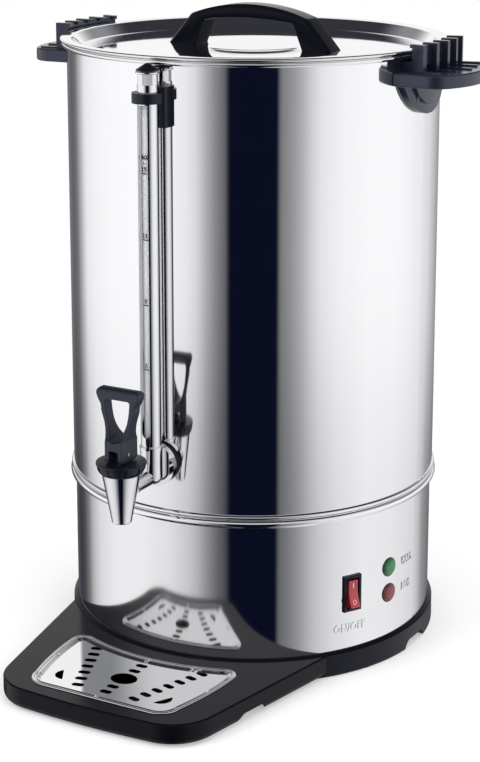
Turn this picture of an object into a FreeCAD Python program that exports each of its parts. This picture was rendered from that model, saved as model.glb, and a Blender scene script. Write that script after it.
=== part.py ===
import FreeCAD, Part
import math
import os
from FreeCAD import Vector

# A fifteen litre coffee urn with a percolator inside, a tap with a sight gauge and a drip tray.
# Sizes are in millimetres. The origin is on the floor, on the axis of the body.
# +Z is up, the tap points to -Y, and +X is on the right of someone who faces the tap.
# An angle round the body starts at the tap and grows towards +X.

# Driving dimensions of the body
tank_r = 142.0
housing_r = tank_r - 1.5
sheet = 0.9
tank_floor_sheet = 1.0
bead_r = housing_r + 4.0
upper_rib_r = tank_r + 1.8
bead_low_z = 120.8
bead_mid_z = bead_low_z + 6.8
bead_high_z = bead_mid_z + 3.4
rim_low_z = 458.2
rim_roll_r = 1.95
seat_gap = 0.05
bolt_gap = 0.05
run_gap = 0.06
piece_gap = 0.3
rest_gap = 0.2
clear_gap = 0.2

# Tank floor and its well
floor_edge_z = bead_mid_z + 13.9
floor_inner_z = floor_edge_z - 1.0
well_r = 38.5
well_depth = 14.0

# Base ring, bottom plate and feet
ring_r = housing_r + 3.5
ring_low_z = 0.8
ring_high_z = 19.0
ring_bevel = 1.8
ring_lip_gap = 0.3
ring_inner_r = ring_r - 13.0
ring_foot_wall = 10.0
ledge_z = ring_high_z - 7.0
plate_low_z = ring_low_z + 4.2
plate_sheet = 1.2
notch_half_angle = 6.7
notch_height = 6.9
notch_angles = (-90.0, -135.0, 180.0, 135.0, 90.0)
foot_r = 4.2
foot_pocket = 2.2
boss_high_z = ledge_z + 4.0
foot_angles = (-158.0, -66.0, 66.0, 158.0)
boss_angles = (-112.0, -40.0, 40.0, 112.0)
boss_r = 5.5
plate_screw_r = 1.7
plate_screw_head_r = 3.4
plate_screw_head_high = 1.8
plate_screw_long = 9.0
plate_slot_half = 2.2
plate_slot_in = 62.0
plate_slot_out = 96.0
plate_slot_step = 30
stud_circle_r = tank_r - 28.0
stud_angles = (-105.0, 15.0, 135.0)
stud_r = 2.0
stud_nut_high = 3.2

# Drip tray and its grid
tray_high_z = 17.5
tray_low_z = 1.2
tray_back_angle = 51.2
tray_front_x = 89.5
tray_nose_y = -ring_r - 104.0
tray_front_y = tray_nose_y + 45.0
tray_nose_bow = 2.0
tray_corner_r = 36.0
tray_low_round = 5.0
tray_high_round = 1.4
tray_wall = 3.0
basin_floor = 2.4
tray_notch_y = tray_nose_y + 75.0
tray_notch_half = 16.0
grid_back_r = ring_r + 14.2
grid_side_x = 70.4
grid_side_bow = 2.4
grid_front_x = 61.5
grid_front_y = tray_nose_y + 14.5
grid_front_corner = 16.0
grid_sheet = 0.8
grid_top_z = tray_high_z - 0.8
grid_rim = 6.2
grid_back_corner = 9.2
grid_rim_high = 1.9
grid_ledge = 3.0
grid_gap = 0.4
row_start = (45.7, -ring_r - 16.3)
row_end = (23.8, -ring_r - 74.4)
row_count = 7
oval_half_long = 4.7
oval_half_short = 2.6
middle_ovals_y = (-ring_r - 25.9, -ring_r - 35.8, -ring_r - 64.9, -ring_r - 74.4)
big_hole_y = -ring_r - 50.2
big_hole_half_x = 10.2
big_hole_half_y = 8.6
finger_hole = ((38.6, -ring_r - 72.6), (47.2, -ring_r - 69.4), (46.2, -ring_r - 59.2))
tray_pad_r = 5.0
tray_pad_pocket = 1.4
tray_pad_wall = 1.8
grid_groove_out = 1.9
grid_groove_in = 2.9
grid_groove_deep = 0.6
oval_turn = 14.0
rim_notch_half = 1.2
rim_notch_y = -ring_r - 46.0
tray_pad_front_x = 62.0
tray_pad_front_y = tray_nose_y + 19.0
tray_pad_back_r = ring_r + 16.7
tray_pad_back_angle = 35.4

# Outlet tee and sight gauge
outlet_z = 166.0
gauge_y = -tank_r - 11.5
tee_r = 8.2
tee_low_z = outlet_z - 13.3
tee_round = 6.8
tee_high_z = outlet_z + 16.5
tee_flange_r = 16.0
tee_flange_thick = 4.4
tee_gasket = 2.6
thread_r = 10.0
thread_bore_r = 5.0
thread_end_y = -tank_r + 24.0
washer_r = 15.0
washer_thick = 4.5
lock_nut_r = 16.0
lock_nut_thick = 7.0
shank_z = outlet_z - 7.5
shank_r = 5.8
shank_bore_r = 4.2
shank_joint_y = gauge_y - 18.5
spigot_r = 4.9
spigot_long = 6.0
guard_r = 7.6
guard_wall = 0.8
guard_high_z = rim_low_z - 15.2
guard_slot = 7.4
slot_low_z = tee_high_z + 7.0
slot_high_z = guard_high_z - 12.0
glass_r = 5.0
glass_wall = 1.3
glass_low_z = tee_high_z - 9.5
glass_high_z = guard_high_z + 4.0
seal_high = 5.0
cap_neck_r = 7.3
cap_flange_r = 8.75
cap_flange_z = guard_high_z + 9.6
cap_flange_high = 2.4
cap_cone_high = 5.0
bracket_high_z = guard_high_z + 0.3
bracket_low_z = bracket_high_z - 28.8
bracket_half = 12.0
bracket_front_y = -tank_r - 8.2
bracket_ring_r = 11.4
bracket_ring_low_z = bracket_high_z - 11.0
bracket_ring_high_z = bracket_high_z - 3.7
bracket_screw_z = bracket_low_z + 8.5
bracket_screw_r = 2.0

# Tap
tap_y = gauge_y - 40.5
spout_high_z = shank_z + 14.8
spout_low_z = shank_z - 21.7
spout_top_r = 13.9
spout_tip_r = 7.1
nozzle_r = 4.7
seat_z = shank_z - 5.5
chamber_r = 8.2
neck_r = 11.0
neck_high_z = spout_high_z + 5.0
bonnet_r = 18.0
bonnet_skirt_r = 14.6
bonnet_belly_r = 16.6
bonnet_high_z = neck_high_z + 4.2
bonnet_flange = 2.4
bonnet_plate = 3.0
bonnet_grooves = 10
bonnet_groove_half = 1.7
bonnet_groove_in_r = bonnet_belly_r - 1.2
stem_r = 3.0
stem_flange_r = 6.5
stem_flange_z = seat_z + 6.0
stem_flange_thick = 1.5
cup_r = 6.6
cup_high = 4.6
pin_z = bonnet_high_z + 5.5
pin_r = 1.5
eye_r = 3.3
eye_half = 3.2
fork_gap = 0.4
lever_base_half = 7.2
lever_base_back = 10.6
lever_shoulder_z = pin_z + 10.5
lever_waist_half = 10.0
lever_waist_z = lever_shoulder_z + 9.5
lever_leg_half = 13.4
lever_leg_z = lever_waist_z + 11.0
lever_high_z = lever_leg_z + 16.8
lever_half = 17.4
lever_bar = 8.0
lever_thick = 9.0
lever_hole_half = 9.9
lever_hole_low_z = lever_shoulder_z - 0.7
cam_lift_per_radian = 6.2
lever_swing = 35.0
spring_r = 5.2
spring_wire_r = 0.5
spring_turns = 6

# Side handles with their combs
handle_angles = (-90.0, 90.0)
grip_high_z = rim_low_z - 9.2
grip_low_z = grip_high_z - 10.0
grip_half = 43.5
grip_out_r = tank_r + 43.5
grip_corner_r = 18.5
grip_bow_angle = 28.0
comb_in_r = tank_r + 8.9
comb_web_r = comb_in_r + 5.5
comb_rib_r = comb_in_r + 9.8
comb_high_z = rim_low_z + 10.8
comb_web_low_z = grip_high_z + 5.0
comb_half_angle = 13.2
rib_half = 2.0
rib_step_angle = 6.2
rib_count = 5
hook_r = comb_in_r - 2.0
hook_thick = 2.8
comb_seat_z = rim_low_z - 1.8
grip_rib_high = 1.3
grip_rib_end_r = grip_out_r - 7.0
pad_half = 35.5
pad_low_z = grip_low_z - 23.6
pad_out_r = tank_r + 4.4
pad_boss_r = pad_out_r + 2.4
handle_screw_x = 18.0
handle_screw_z = grip_low_z - 10.0
handle_screw_r = 2.4
handle_screw_head_r = 4.4
handle_screw_head_high = 2.6
backing_sheet = 1.4
backing_half_high = 8.0
backing_half_angle = 11.0
wall_gap = 0.25

# Lid
lid_r = tank_r + 5.1
lid_high_z = rim_low_z + 6.1
lid_disc_z = lid_high_z - 8.3
lid_wall_r = tank_r - 3.4
lid_disc_r = lid_wall_r - 8.1
lid_sheet = 0.9
dish_r = 36.0
dish_depth = 2.2
lid_bar_half = 10.5
lid_bar_foot_out = 70.0
lid_bar_foot_in = 46.0
lid_bar_top_out = 50.0
lid_bar_top_out_z = lid_disc_z + 23.5
lid_bar_top_in = 38.5
lid_bar_top_in_z = lid_disc_z + 19.5
lid_bar_crest_z = lid_disc_z + 32.5
lid_bar_crest_in_z = lid_disc_z + 22.5
lid_bar_bevel = 2.6
lid_screw_x = 58.0
lid_screw_r = 2.0
lid_screw_head_r = 4.4
lid_screw_head_high = 2.6
lid_screw_long = 10.5

# Percolator
riser_r = 6.0
riser_wall = 0.8
riser_stop_z = floor_inner_z + 164.5
riser_high_z = riser_stop_z + 133.0
riser_stop_high = 4.5
riser_stop_r = 9.0
bell_r = 33.0
bell_high = 15.0
bell_sheet = 1.0
basket_r = 95.0
basket_high_z = riser_stop_z + 80.0
basket_sheet = 0.8
hub_r = 8.0
hub_high = 30.0
spreader_r = basket_r + 1.9
spreader_lip = 6.0

# Switch, lamps and inlet in the lower housing
switch_angle = 60.3
switch_z = 62.3
bezel_half_x = 7.7
bezel_half_z = 14.0
bezel_thick = 2.0
switch_body_half_x = 6.7
switch_body_half_z = 12.9
switch_body_deep = 19.0
rocker_half_x = 5.3
rocker_half_z = 10.8
rocker_tilt = 10.0
rocker_pivot_in = 1.5
rocker_clear = 1.2
trunnion_r = 1.2
lamp_angle = 75.7
lamp_z = (switch_z + 10.9, switch_z - 9.7)
lamp_r = 7.5
lamp_dome = 2.4
lamp_body_r = 5.8
lamp_body_deep = 20.0
inlet_angle = 180.0
inlet_z = switch_z - 4.3
inlet_half_x = 13.8
inlet_half_z = 9.8
inlet_flange_half_x = 25.0
inlet_flange_half_z = 14.0
inlet_flange_thick = 2.6
inlet_deep = 26.0
socket_half_x = 12.0
socket_half_z = 8.0
socket_deep = 17.0
contact_long = 11.0
inlet_screw_edge = 5.5
inlet_screw_r = 1.6
inlet_screw_head_r = 2.9
inlet_screw_head_high = 1.6

# Heating under the tank
element_r = 33.0
element_thick = 7.0
element_hole_r = 5.0
clamp_r = element_r - 5.0
clamp_thick = 2.0
heater_stud_r = 3.0
heater_stud_low_z = floor_inner_z - 40.5
heater_nut_high = 5.0
element_tail_r = 2.2
element_tail_x = 30.0
element_tail_long = 9.0
warm_ring_in = 62.0
warm_ring_out = warm_ring_in + 20.0
warm_ring_thick = 4.0
sensor_r = 8.0
sensor_high = 7.0
sensor_circle_r = 100.0
terminal_half_x = 21.0
terminal_half_y = 10.0
terminal_high = 16.0
terminal_y = 62.0

# Values worked out from the driving dimensions
tank_in_r = tank_r - sheet
housing_in_r = housing_r - sheet
plate_high_z = plate_low_z + plate_sheet
foot_ring_r = ring_r - ring_foot_wall
plate_r = foot_ring_r - 0.4
foot_circle_r = ring_r - ring_foot_wall / 2
boss_circle_r = ring_inner_r - boss_r + 1.5
lip_in_r = housing_r + ring_lip_gap
rim_centre_z = rim_low_z + rim_roll_r - 0.45
rim_high_z = rim_centre_z + rim_roll_r
rim_centre_r = tank_r + rim_roll_r
well_floor_z = floor_inner_z - well_depth
well_under_z = well_floor_z - tank_floor_sheet
guard_in_r = guard_r - guard_wall
tee_front_y = -(tank_r + tee_gasket)
flange_front_y = tee_front_y - tee_flange_thick
spring_low_z = stem_flange_z + stem_flange_thick
spring_high_z = bonnet_high_z - bonnet_plate
grid_low_z = grid_top_z - grid_sheet

os.makedirs("parts", exist_ok=True)


def save(name, shape):
    """Write one sub-part."""
    shape.exportStep("parts/" + name + ".step")


def ring_point(radius, angle, z=0.0):
    """Return the point at an angle round the body, counted from the tap."""
    turn = math.radians(angle)
    return Vector(radius * math.sin(turn), -radius * math.cos(turn), z)


tray_back = ring_point(ring_r, tray_back_angle)
pad_back = ring_point(tray_pad_back_r, tray_pad_back_angle)
tray_pads = ((-tray_pad_front_x, tray_pad_front_y), (tray_pad_front_x, tray_pad_front_y),
             (-pad_back.x, pad_back.y), (pad_back.x, pad_back.y))


def turned(shape, angle):
    """Turn a copy of a shape that was built at the tap to an angle round the body."""
    copy = shape.copy()
    copy.rotate(Vector(0, 0, 0), Vector(0, 0, 1), angle)
    return copy


def moved(shape, x, y, z=0.0):
    """Return a copy of a shape, moved."""
    copy = shape.copy()
    copy.translate(Vector(x, y, z))
    return copy


def group(shapes):
    """Keep separate solids together in one node."""
    return Part.makeCompound(shapes)


def wire_of(start, steps, place):
    """Join lines and arcs. A step is an end point, or a point on the arc and its end."""
    edges = []
    last = place(*start)
    for step in steps:
        if isinstance(step[0], tuple):
            middle = place(*step[0])
            end = place(*step[1])
            edges.append(Part.Arc(last, middle, end).toShape())
        else:
            end = place(*step)
            edges.append(Part.LineSegment(last, end).toShape())
        last = end
    first = place(*start)
    if last.distanceToPoint(first) > 1e-6:
        edges.append(Part.LineSegment(last, first).toShape())
    return Part.Wire(edges)


def revolved(start, *steps):
    """Spin a profile of radius and height about the Z axis."""
    wire = wire_of(start, steps, lambda r, z: Vector(r, 0, z))
    return Part.Face(wire).revolve(Vector(0, 0, 0), Vector(0, 0, 1), 360)


def slab(low_z, high_z, start, *steps):
    """Raise a plan outline from one height to another."""
    wire = wire_of(start, steps, lambda x, y: Vector(x, y, low_z))
    return Part.Face(wire).extrude(Vector(0, 0, high_z - low_z))


def side_slab(half, start, *steps):
    """Spread an outline of x and z to both sides of the XZ plane."""
    wire = wire_of(start, steps, lambda x, z: Vector(x, -half, z))
    return Part.Face(wire).extrude(Vector(0, 2 * half, 0))


def end_slab(half, start, *steps):
    """Spread an outline of y and z to both sides of the YZ plane."""
    wire = wire_of(start, steps, lambda y, z: Vector(-half, y, z))
    return Part.Face(wire).extrude(Vector(2 * half, 0, 0))


def rod(radius, low_z, high_z, x=0.0, y=0.0):
    """Make an upright cylinder."""
    return Part.makeCylinder(radius, high_z - low_z, Vector(x, y, low_z))


def rod_y(radius, front_y, back_y, z, x=0.0):
    """Make a cylinder that runs from front to back."""
    return Part.makeCylinder(radius, back_y - front_y, Vector(x, front_y, z), Vector(0, 1, 0))


def rod_x(radius, half, y, z):
    """Make a cylinder that runs from side to side."""
    return Part.makeCylinder(radius, 2 * half, Vector(-half, y, z), Vector(1, 0, 0))


def tube(outer, inner, low_z, high_z, x=0.0, y=0.0):
    """Make an upright tube."""
    return rod(outer, low_z, high_z, x, y).cut(rod(inner, low_z - 1, high_z + 1, x, y))


def block(x0, x1, y0, y1, z0, z1):
    """Make a box from its sides."""
    return Part.makeBox(x1 - x0, y1 - y0, z1 - z0, Vector(x0, y0, z0))


def prism(sides, across_corners_r, low_z, high_z, x=0.0, y=0.0):
    """Make an upright prism with a regular outline."""
    points = []
    for i in range(sides + 1):
        turn = 2 * math.pi * i / sides
        points.append(Vector(x + across_corners_r * math.cos(turn),
                             y + across_corners_r * math.sin(turn), low_z))
    face = Part.Face(Part.makePolygon(points))
    return face.extrude(Vector(0, 0, high_z - low_z))


def prism_y(sides, across_corners_r, front_y, back_y, z, x=0.0):
    """Make a prism with a regular outline that runs from front to back."""
    body = prism(sides, across_corners_r, 0, back_y - front_y)
    body.rotate(Vector(0, 0, 0), Vector(1, 0, 0), -90)
    return moved(body, x, front_y, z)


def pan_screw(radius, head_r, head_high, shank):
    """Make a screw whose head stands below z = 0 and whose shank points up."""
    head = rod(head_r, -head_high, 0)
    body = head.fuse(rod(radius, 0, shank))
    slot = block(-head_r, head_r, -0.5, 0.5, -head_high, -head_high * 0.5)
    return body.cut(slot)


def hex_nut(radius, high):
    """Make a nut that stands on z = 0."""
    return prism(6, radius * 2.0, 0, high).cut(rod(radius + bolt_gap, -1, high + 1))


def wall_band(inner_r, outer_r, low_z, high_z, half_angle):
    """Make a part of a ring in front, to both sides of the tap's direction."""
    left = ring_point(1.0, -half_angle)
    right = ring_point(1.0, half_angle)
    wire = wire_of((inner_r * left.x, inner_r * left.y),
                   [(outer_r * left.x, outer_r * left.y),
                    ((0.0, -outer_r), (outer_r * right.x, outer_r * right.y)),
                    (inner_r * right.x, inner_r * right.y),
                    ((0.0, -inner_r), (inner_r * left.x, inner_r * left.y))],
                   lambda x, y: Vector(x, y, low_z))
    return Part.Face(wire).extrude(Vector(0, 0, high_z - low_z))


# Tank
def tank_shell():
    """Upper wall with the rolled rim and the thin rib at its foot."""
    body = revolved(
        (tank_in_r, bead_mid_z + seat_gap),
        (tank_r + 0.6, bead_mid_z + seat_gap),
        ((upper_rib_r, (bead_mid_z + bead_high_z) / 2), (tank_r, bead_high_z)),
        (tank_r, rim_centre_z - 0.4),
        ((rim_centre_r + rim_roll_r, rim_centre_z), (tank_r + 0.3, rim_centre_z + 1.0)),
        (tank_in_r, rim_centre_z + 1.2))
    outlet = rod_y(thread_r + piece_gap, -tank_r - 5, -tank_in_r + 5, outlet_z)
    bracket = rod_y(bracket_screw_r + bolt_gap, -tank_r - 5, -tank_in_r + 5, bracket_screw_z)
    body = body.cut(group([outlet, bracket]))
    for angle in handle_angles:
        for side in (-1, 1):
            hole = rod_y(handle_screw_r + bolt_gap, -tank_r - 5, -tank_in_r + 12,
                         handle_screw_z, side * handle_screw_x)
            body = body.cut(turned(hole, angle))
    return body


def tank_bottom():
    """Pressed floor with a well in the middle and a skirt inside the wall."""
    edge = tank_in_r - seat_gap
    t = tank_floor_sheet
    return revolved(
        (0, well_floor_z), (well_r - 2.5, well_floor_z), (well_r, well_floor_z + 2.5),
        (well_r, floor_inner_z - 2), (well_r + 2, floor_inner_z), (edge - 5, floor_edge_z),
        (edge - 1.6, floor_edge_z - 0.9), (edge, floor_edge_z - 3.1), (edge, bead_mid_z + seat_gap),
        (edge - t, bead_mid_z + seat_gap), (edge - t, floor_edge_z - 3.5),
        (edge - t - 1.1, floor_edge_z - 1.8), (edge - 5, floor_edge_z - t),
        (well_r + 2.5, floor_inner_z - t), (well_r + t, floor_inner_z - 2.5),
        (well_r + t, well_floor_z + 2.1), (well_r - 2.1, well_under_z), (0, well_under_z))


# Lower housing
def lower_housing():
    """Lower wall with the thick rib on top and the cut-outs for the fittings."""
    t = sheet
    middle = (bead_low_z + bead_mid_z) / 2
    body = revolved(
        (housing_in_r, ledge_z + seat_gap), (housing_r, ledge_z + seat_gap),
        (housing_r, bead_low_z), ((bead_r, middle), (tank_r, bead_mid_z)),
        (tank_r - 6, bead_mid_z), (tank_r - 6, bead_mid_z - t), (tank_r - 0.9, bead_mid_z - t),
        ((bead_r - t, middle), (housing_in_r, bead_low_z + 0.3)))
    near_y = -housing_r - 5
    far_y = -housing_in_r + 5
    window = block(-switch_body_half_x - clear_gap, switch_body_half_x + clear_gap, near_y, far_y,
                   switch_z - switch_body_half_z - clear_gap, switch_z + switch_body_half_z + clear_gap)
    body = body.cut(turned(window, switch_angle))
    for z in lamp_z:
        body = body.cut(turned(rod_y(lamp_body_r + clear_gap, near_y, far_y, z), lamp_angle))
    socket = block(-inlet_half_x - clear_gap, inlet_half_x + clear_gap, near_y, far_y,
                   inlet_z - inlet_half_z - clear_gap, inlet_z + inlet_half_z + clear_gap)
    body = body.cut(turned(socket, inlet_angle))
    for side in (-1, 1):
        hole = rod_y(inlet_screw_r, near_y, far_y, inlet_z, side * (inlet_flange_half_x - inlet_screw_edge))
        body = body.cut(turned(hole, inlet_angle))
    return body


# Base
def notch_cutter(half, deep, high):
    """Arched cutter for an opening under an edge, spread along y."""
    return side_slab(deep, (-half - 1, -1), (-half, 0), ((-half * 0.86, high * 0.62), (-half * 0.6, high)),
                     (half * 0.6, high), ((half * 0.86, high * 0.62), (half, 0)), (half + 1, -1))


def base_ring():
    """Plastic ring that carries the housing and stands on the feet."""
    body = revolved(
        (ring_inner_r, plate_high_z), (ring_inner_r, ledge_z), (lip_in_r, ledge_z),
        (lip_in_r, ring_high_z), (lip_in_r + 0.4, ring_high_z),
        (ring_r, ring_high_z - ring_bevel), (ring_r, ring_low_z), (foot_ring_r, ring_low_z),
        (foot_ring_r, plate_high_z))
    bosses = []
    for angle in boss_angles:
        place = ring_point(boss_circle_r, angle)
        bosses.append(rod(boss_r, plate_high_z, boss_high_z, place.x, place.y))
    body = body.fuse(bosses)
    cutters = []
    for angle in boss_angles:
        place = ring_point(boss_circle_r, angle)
        cutters.append(rod(plate_screw_r, plate_high_z - 1, boss_high_z - 2, place.x, place.y))
    half = ring_r * math.sin(math.radians(notch_half_angle))
    arch = moved(notch_cutter(half, 9.0, notch_height), 0, -ring_r)
    for angle in notch_angles:
        cutters.append(turned(arch, angle))
    for angle in foot_angles:
        place = ring_point(foot_circle_r, angle)
        cutters.append(rod(foot_r, -1, ring_low_z + foot_pocket, place.x, place.y))
    return body.cut(group(cutters))


def feet():
    """Four rubber feet in the pockets of the ring."""
    pads = []
    for angle in foot_angles:
        place = ring_point(foot_circle_r, angle)
        pads.append(rod(foot_r - bolt_gap, 0, ring_low_z + foot_pocket, place.x, place.y))
    return group(pads)


def bottom_plate():
    """Steel plate that closes the base, with slots for air."""
    body = rod(plate_r, plate_low_z, plate_high_z)
    cutters = []
    for angle in boss_angles:
        place = ring_point(boss_circle_r, angle)
        cutters.append(rod(plate_screw_r + clear_gap, 0, 20, place.x, place.y))
    for angle in stud_angles:
        place = ring_point(stud_circle_r, angle)
        cutters.append(rod(stud_r + clear_gap, 0, 20, place.x, place.y))
    half = plate_slot_half
    slot = block(-half, half, -plate_slot_out, -plate_slot_in, 0, 20)
    slot = slot.fuse([rod(half, 0, 20, 0, -plate_slot_out), rod(half, 0, 20, 0, -plate_slot_in)])
    for angle in range(0, 360, plate_slot_step):
        cutters.append(turned(slot, angle + plate_slot_step / 2))
    return body.cut(group(cutters))


def bottom_screws():
    """Screws that hold the bottom plate to the bosses of the ring."""
    screw = pan_screw(plate_screw_r - bolt_gap, plate_screw_head_r, plate_screw_head_high,
                      plate_screw_long)
    screws = []
    for angle in boss_angles:
        place = ring_point(boss_circle_r, angle)
        screws.append(moved(screw, place.x, place.y, plate_low_z))
    return group(screws)


def tie_studs():
    """Long studs from the tank floor down through the bottom plate."""
    studs = []
    slope = (floor_edge_z - floor_inner_z) / (tank_in_r - 5 - well_r - 2)
    top = floor_inner_z - tank_floor_sheet + slope * (stud_circle_r - stud_r - well_r - 2.5)
    for angle in stud_angles:
        place = ring_point(stud_circle_r, angle)
        studs.append(rod(stud_r, plate_low_z - stud_nut_high - 0.4, top - seat_gap, place.x, place.y))
    return group(studs)


def tie_nuts():
    """Nuts under the bottom plate on the long studs."""
    nuts = []
    for angle in stud_angles:
        place = ring_point(stud_circle_r, angle)
        nuts.append(moved(hex_nut(stud_r, stud_nut_high), place.x, place.y, plate_low_z - stud_nut_high))
    return group(nuts)


# Drip tray
def tray_side_slope():
    """Slope of the tray's straight side, as width for length."""
    return (tray_back.x - tray_front_x) / (tray_back.y - tray_front_y)


def tray_outline(inset, low_z, high_z):
    """Plan of the tray, drawn in by an inset, without the hollow for the ring."""
    slope = tray_side_slope()
    tilt = math.atan(slope)
    back_y = -ring_r / 2
    nose_y = tray_nose_y + inset
    corner = max(tray_corner_r - inset, 1.0)
    centre_y = nose_y + tray_nose_bow + corner
    edge_x = tray_back.x + slope * (centre_y - tray_back.y) - inset / math.cos(tilt)
    centre_x = edge_x - corner / math.cos(tilt)
    side_y = centre_y - corner * math.sin(tilt)
    side_x = centre_x + corner * math.cos(tilt)
    back_x = side_x + slope * (back_y - side_y)
    half = (math.pi / 2 + tilt) / 2 - tilt
    bend_x = centre_x + corner * math.cos(half)
    bend_y = centre_y - corner * math.sin(half)
    front_y = centre_y - corner
    return slab(low_z, high_z,
                (-back_x, back_y), (-side_x, side_y), ((-bend_x, bend_y), (-centre_x, front_y)),
                ((0, nose_y), (centre_x, front_y)), ((bend_x, bend_y), (side_x, side_y)),
                (back_x, back_y))


def grid_outline(grow, low_z, high_z):
    """Plan of the grid: a fan whose back follows the body, with round corners."""
    back_r = grid_back_r - grow
    back_corner = grid_back_corner + grow
    side_x = grid_side_x + grow
    front_y = grid_front_y - grow
    corner = grid_front_corner + grow
    nose_x = grid_front_x + grow
    bend = corner * (1 - math.sqrt(0.5))
    centre_x = side_x - back_corner
    centre_y = -math.sqrt((back_r + back_corner) ** 2 - centre_x ** 2)
    inward = Vector(centre_x, centre_y, 0).normalize()
    half, back_y = inward.x * back_r, inward.y * back_r
    outward = (Vector(1, 0, 0) - inward).normalize() * back_corner
    round_x, round_y = centre_x + outward.x, centre_y + outward.y
    side_middle = (side_x - grid_side_bow, (centre_y + front_y + corner) / 2)
    return slab(low_z, high_z,
                (-half, back_y),
                ((0, -back_r), (half, back_y)),
                ((round_x, round_y), (side_x, centre_y)),
                (side_middle, (nose_x, front_y + corner)),
                ((nose_x - bend, front_y + bend), (nose_x - corner, front_y)),
                (-nose_x + corner, front_y),
                ((-nose_x + bend, front_y + bend), (-nose_x, front_y + corner)),
                ((-side_middle[0], side_middle[1]), (-side_x, centre_y)),
                ((-round_x, round_y), (-half, back_y)))


def drip_tray():
    """Black tray in front of the base, with a basin under the grid."""
    body = tray_outline(0, tray_low_z, tray_high_z)
    for z, radius in ((tray_high_z, tray_high_round), (tray_low_z, tray_low_round)):
        edges = [edge for edge in body.Edges
                 if abs(edge.BoundBox.Center.z - z) < 0.01 and edge.BoundBox.YLength > 0.1]
        body = body.makeFillet(radius, edges)
    hollow = tray_outline(tray_wall, tray_low_z - 1, tray_high_z - tray_wall)
    keep = grid_outline(-grid_ledge + tray_wall, tray_low_z - 2, tray_high_z)
    pads = [rod(tray_pad_r + tray_pad_wall, tray_low_z - 2, tray_high_z, x, y) for x, y in tray_pads]
    back_wall = rod(ring_r + piece_gap + tray_wall, tray_low_z - 2, tray_high_z)
    hollow = hollow.cut(group([keep] + pads)).cut(back_wall)
    body = body.cut(hollow)
    body = body.cut(rod(ring_r + piece_gap, tray_low_z - 2, tray_high_z + 1))
    body = body.cut(grid_outline(grid_gap, grid_low_z - rest_gap, tray_high_z + 1))
    body = body.cut(grid_outline(-grid_ledge, tray_low_z + basin_floor, tray_high_z))
    arch = notch_cutter(tray_notch_half, tray_wall * 2.5, notch_height)
    arch.rotate(Vector(0, 0, 0), Vector(0, 0, 1), 90)
    notch_x = tray_back.x - tray_side_slope() * (tray_back.y - tray_notch_y)
    body = body.cut(group([moved(arch, -notch_x, tray_notch_y), moved(arch, notch_x, tray_notch_y)]))
    pockets = [rod(tray_pad_r, tray_low_z - 1, tray_low_z + tray_pad_pocket, x, y) for x, y in tray_pads]
    return body.cut(group(pockets))


def tray_pads_group():
    """Rubber pads under the tray."""
    return group([rod(tray_pad_r - bolt_gap, 0, tray_low_z + tray_pad_pocket, x, y) for x, y in tray_pads])


def oval(x, y, half_long, half_short, turn):
    """Upright cutter with round ends."""
    reach = half_long - half_short
    body = block(-reach, reach, -half_short, half_short, 0, 40)
    body = body.fuse([rod(half_short, 0, 40, -reach, 0), rod(half_short, 0, 40, reach, 0)])
    body.rotate(Vector(0, 0, 0), Vector(0, 0, 1), turn)
    return moved(body, x, y)


def drip_grid():
    """Pressed steel grid with a raised rim, rows of oval holes and one large hole."""
    body = grid_outline(0, grid_low_z, grid_top_z + grid_rim_high)
    body = body.cut(grid_outline(-grid_rim, grid_top_z, grid_top_z + 10))
    groove_z = grid_top_z + grid_rim_high - grid_groove_deep
    rim_groove = grid_outline(-grid_groove_out, groove_z, grid_top_z + 10)
    rim_groove = rim_groove.cut(grid_outline(-grid_groove_in, 0, 60))
    body = body.cut(rim_groove)
    inner_edge = grid_rim + 0.1
    above_z = grid_top_z + 10
    cutters = [
        block(-rim_notch_half, rim_notch_half, grid_front_y + grid_groove_in, grid_front_y + inner_edge,
              grid_top_z, above_z),
        block(-rim_notch_half, rim_notch_half, -grid_back_r - inner_edge, -grid_back_r - grid_groove_in,
              grid_top_z, above_z)]
    for side in (-1, 1):
        ends = sorted(side * (grid_side_x - inset)
                      for inset in (inner_edge + grid_side_bow, grid_groove_in + grid_side_bow / 2))
        cutters.append(block(*ends, rim_notch_y - rim_notch_half, rim_notch_y + rim_notch_half,
                             grid_top_z, above_z))
    for i in range(row_count):
        share = i / (row_count - 1)
        x = row_start[0] + (row_end[0] - row_start[0]) * share
        y = row_start[1] + (row_end[1] - row_start[1]) * share
        cutters.append(oval(-x, y, oval_half_long, oval_half_short, oval_turn))
        cutters.append(oval(x, y, oval_half_long, oval_half_short, -oval_turn))
    for y in middle_ovals_y:
        cutters.append(oval(0, y, oval_half_long, oval_half_short, 0))
    ellipse = Part.Ellipse(Vector(0, big_hole_y, 0), big_hole_half_x, big_hole_half_y).toShape()
    cutters.append(Part.Face(Part.Wire([ellipse])).extrude(Vector(0, 0, 40)))
    for side in (-1, 1):
        start, bow, end = [(side * x, y) for x, y in finger_hole]
        cutters.append(slab(0, 40, start, (bow, end)))
    return body.cut(group(cutters))


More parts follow.
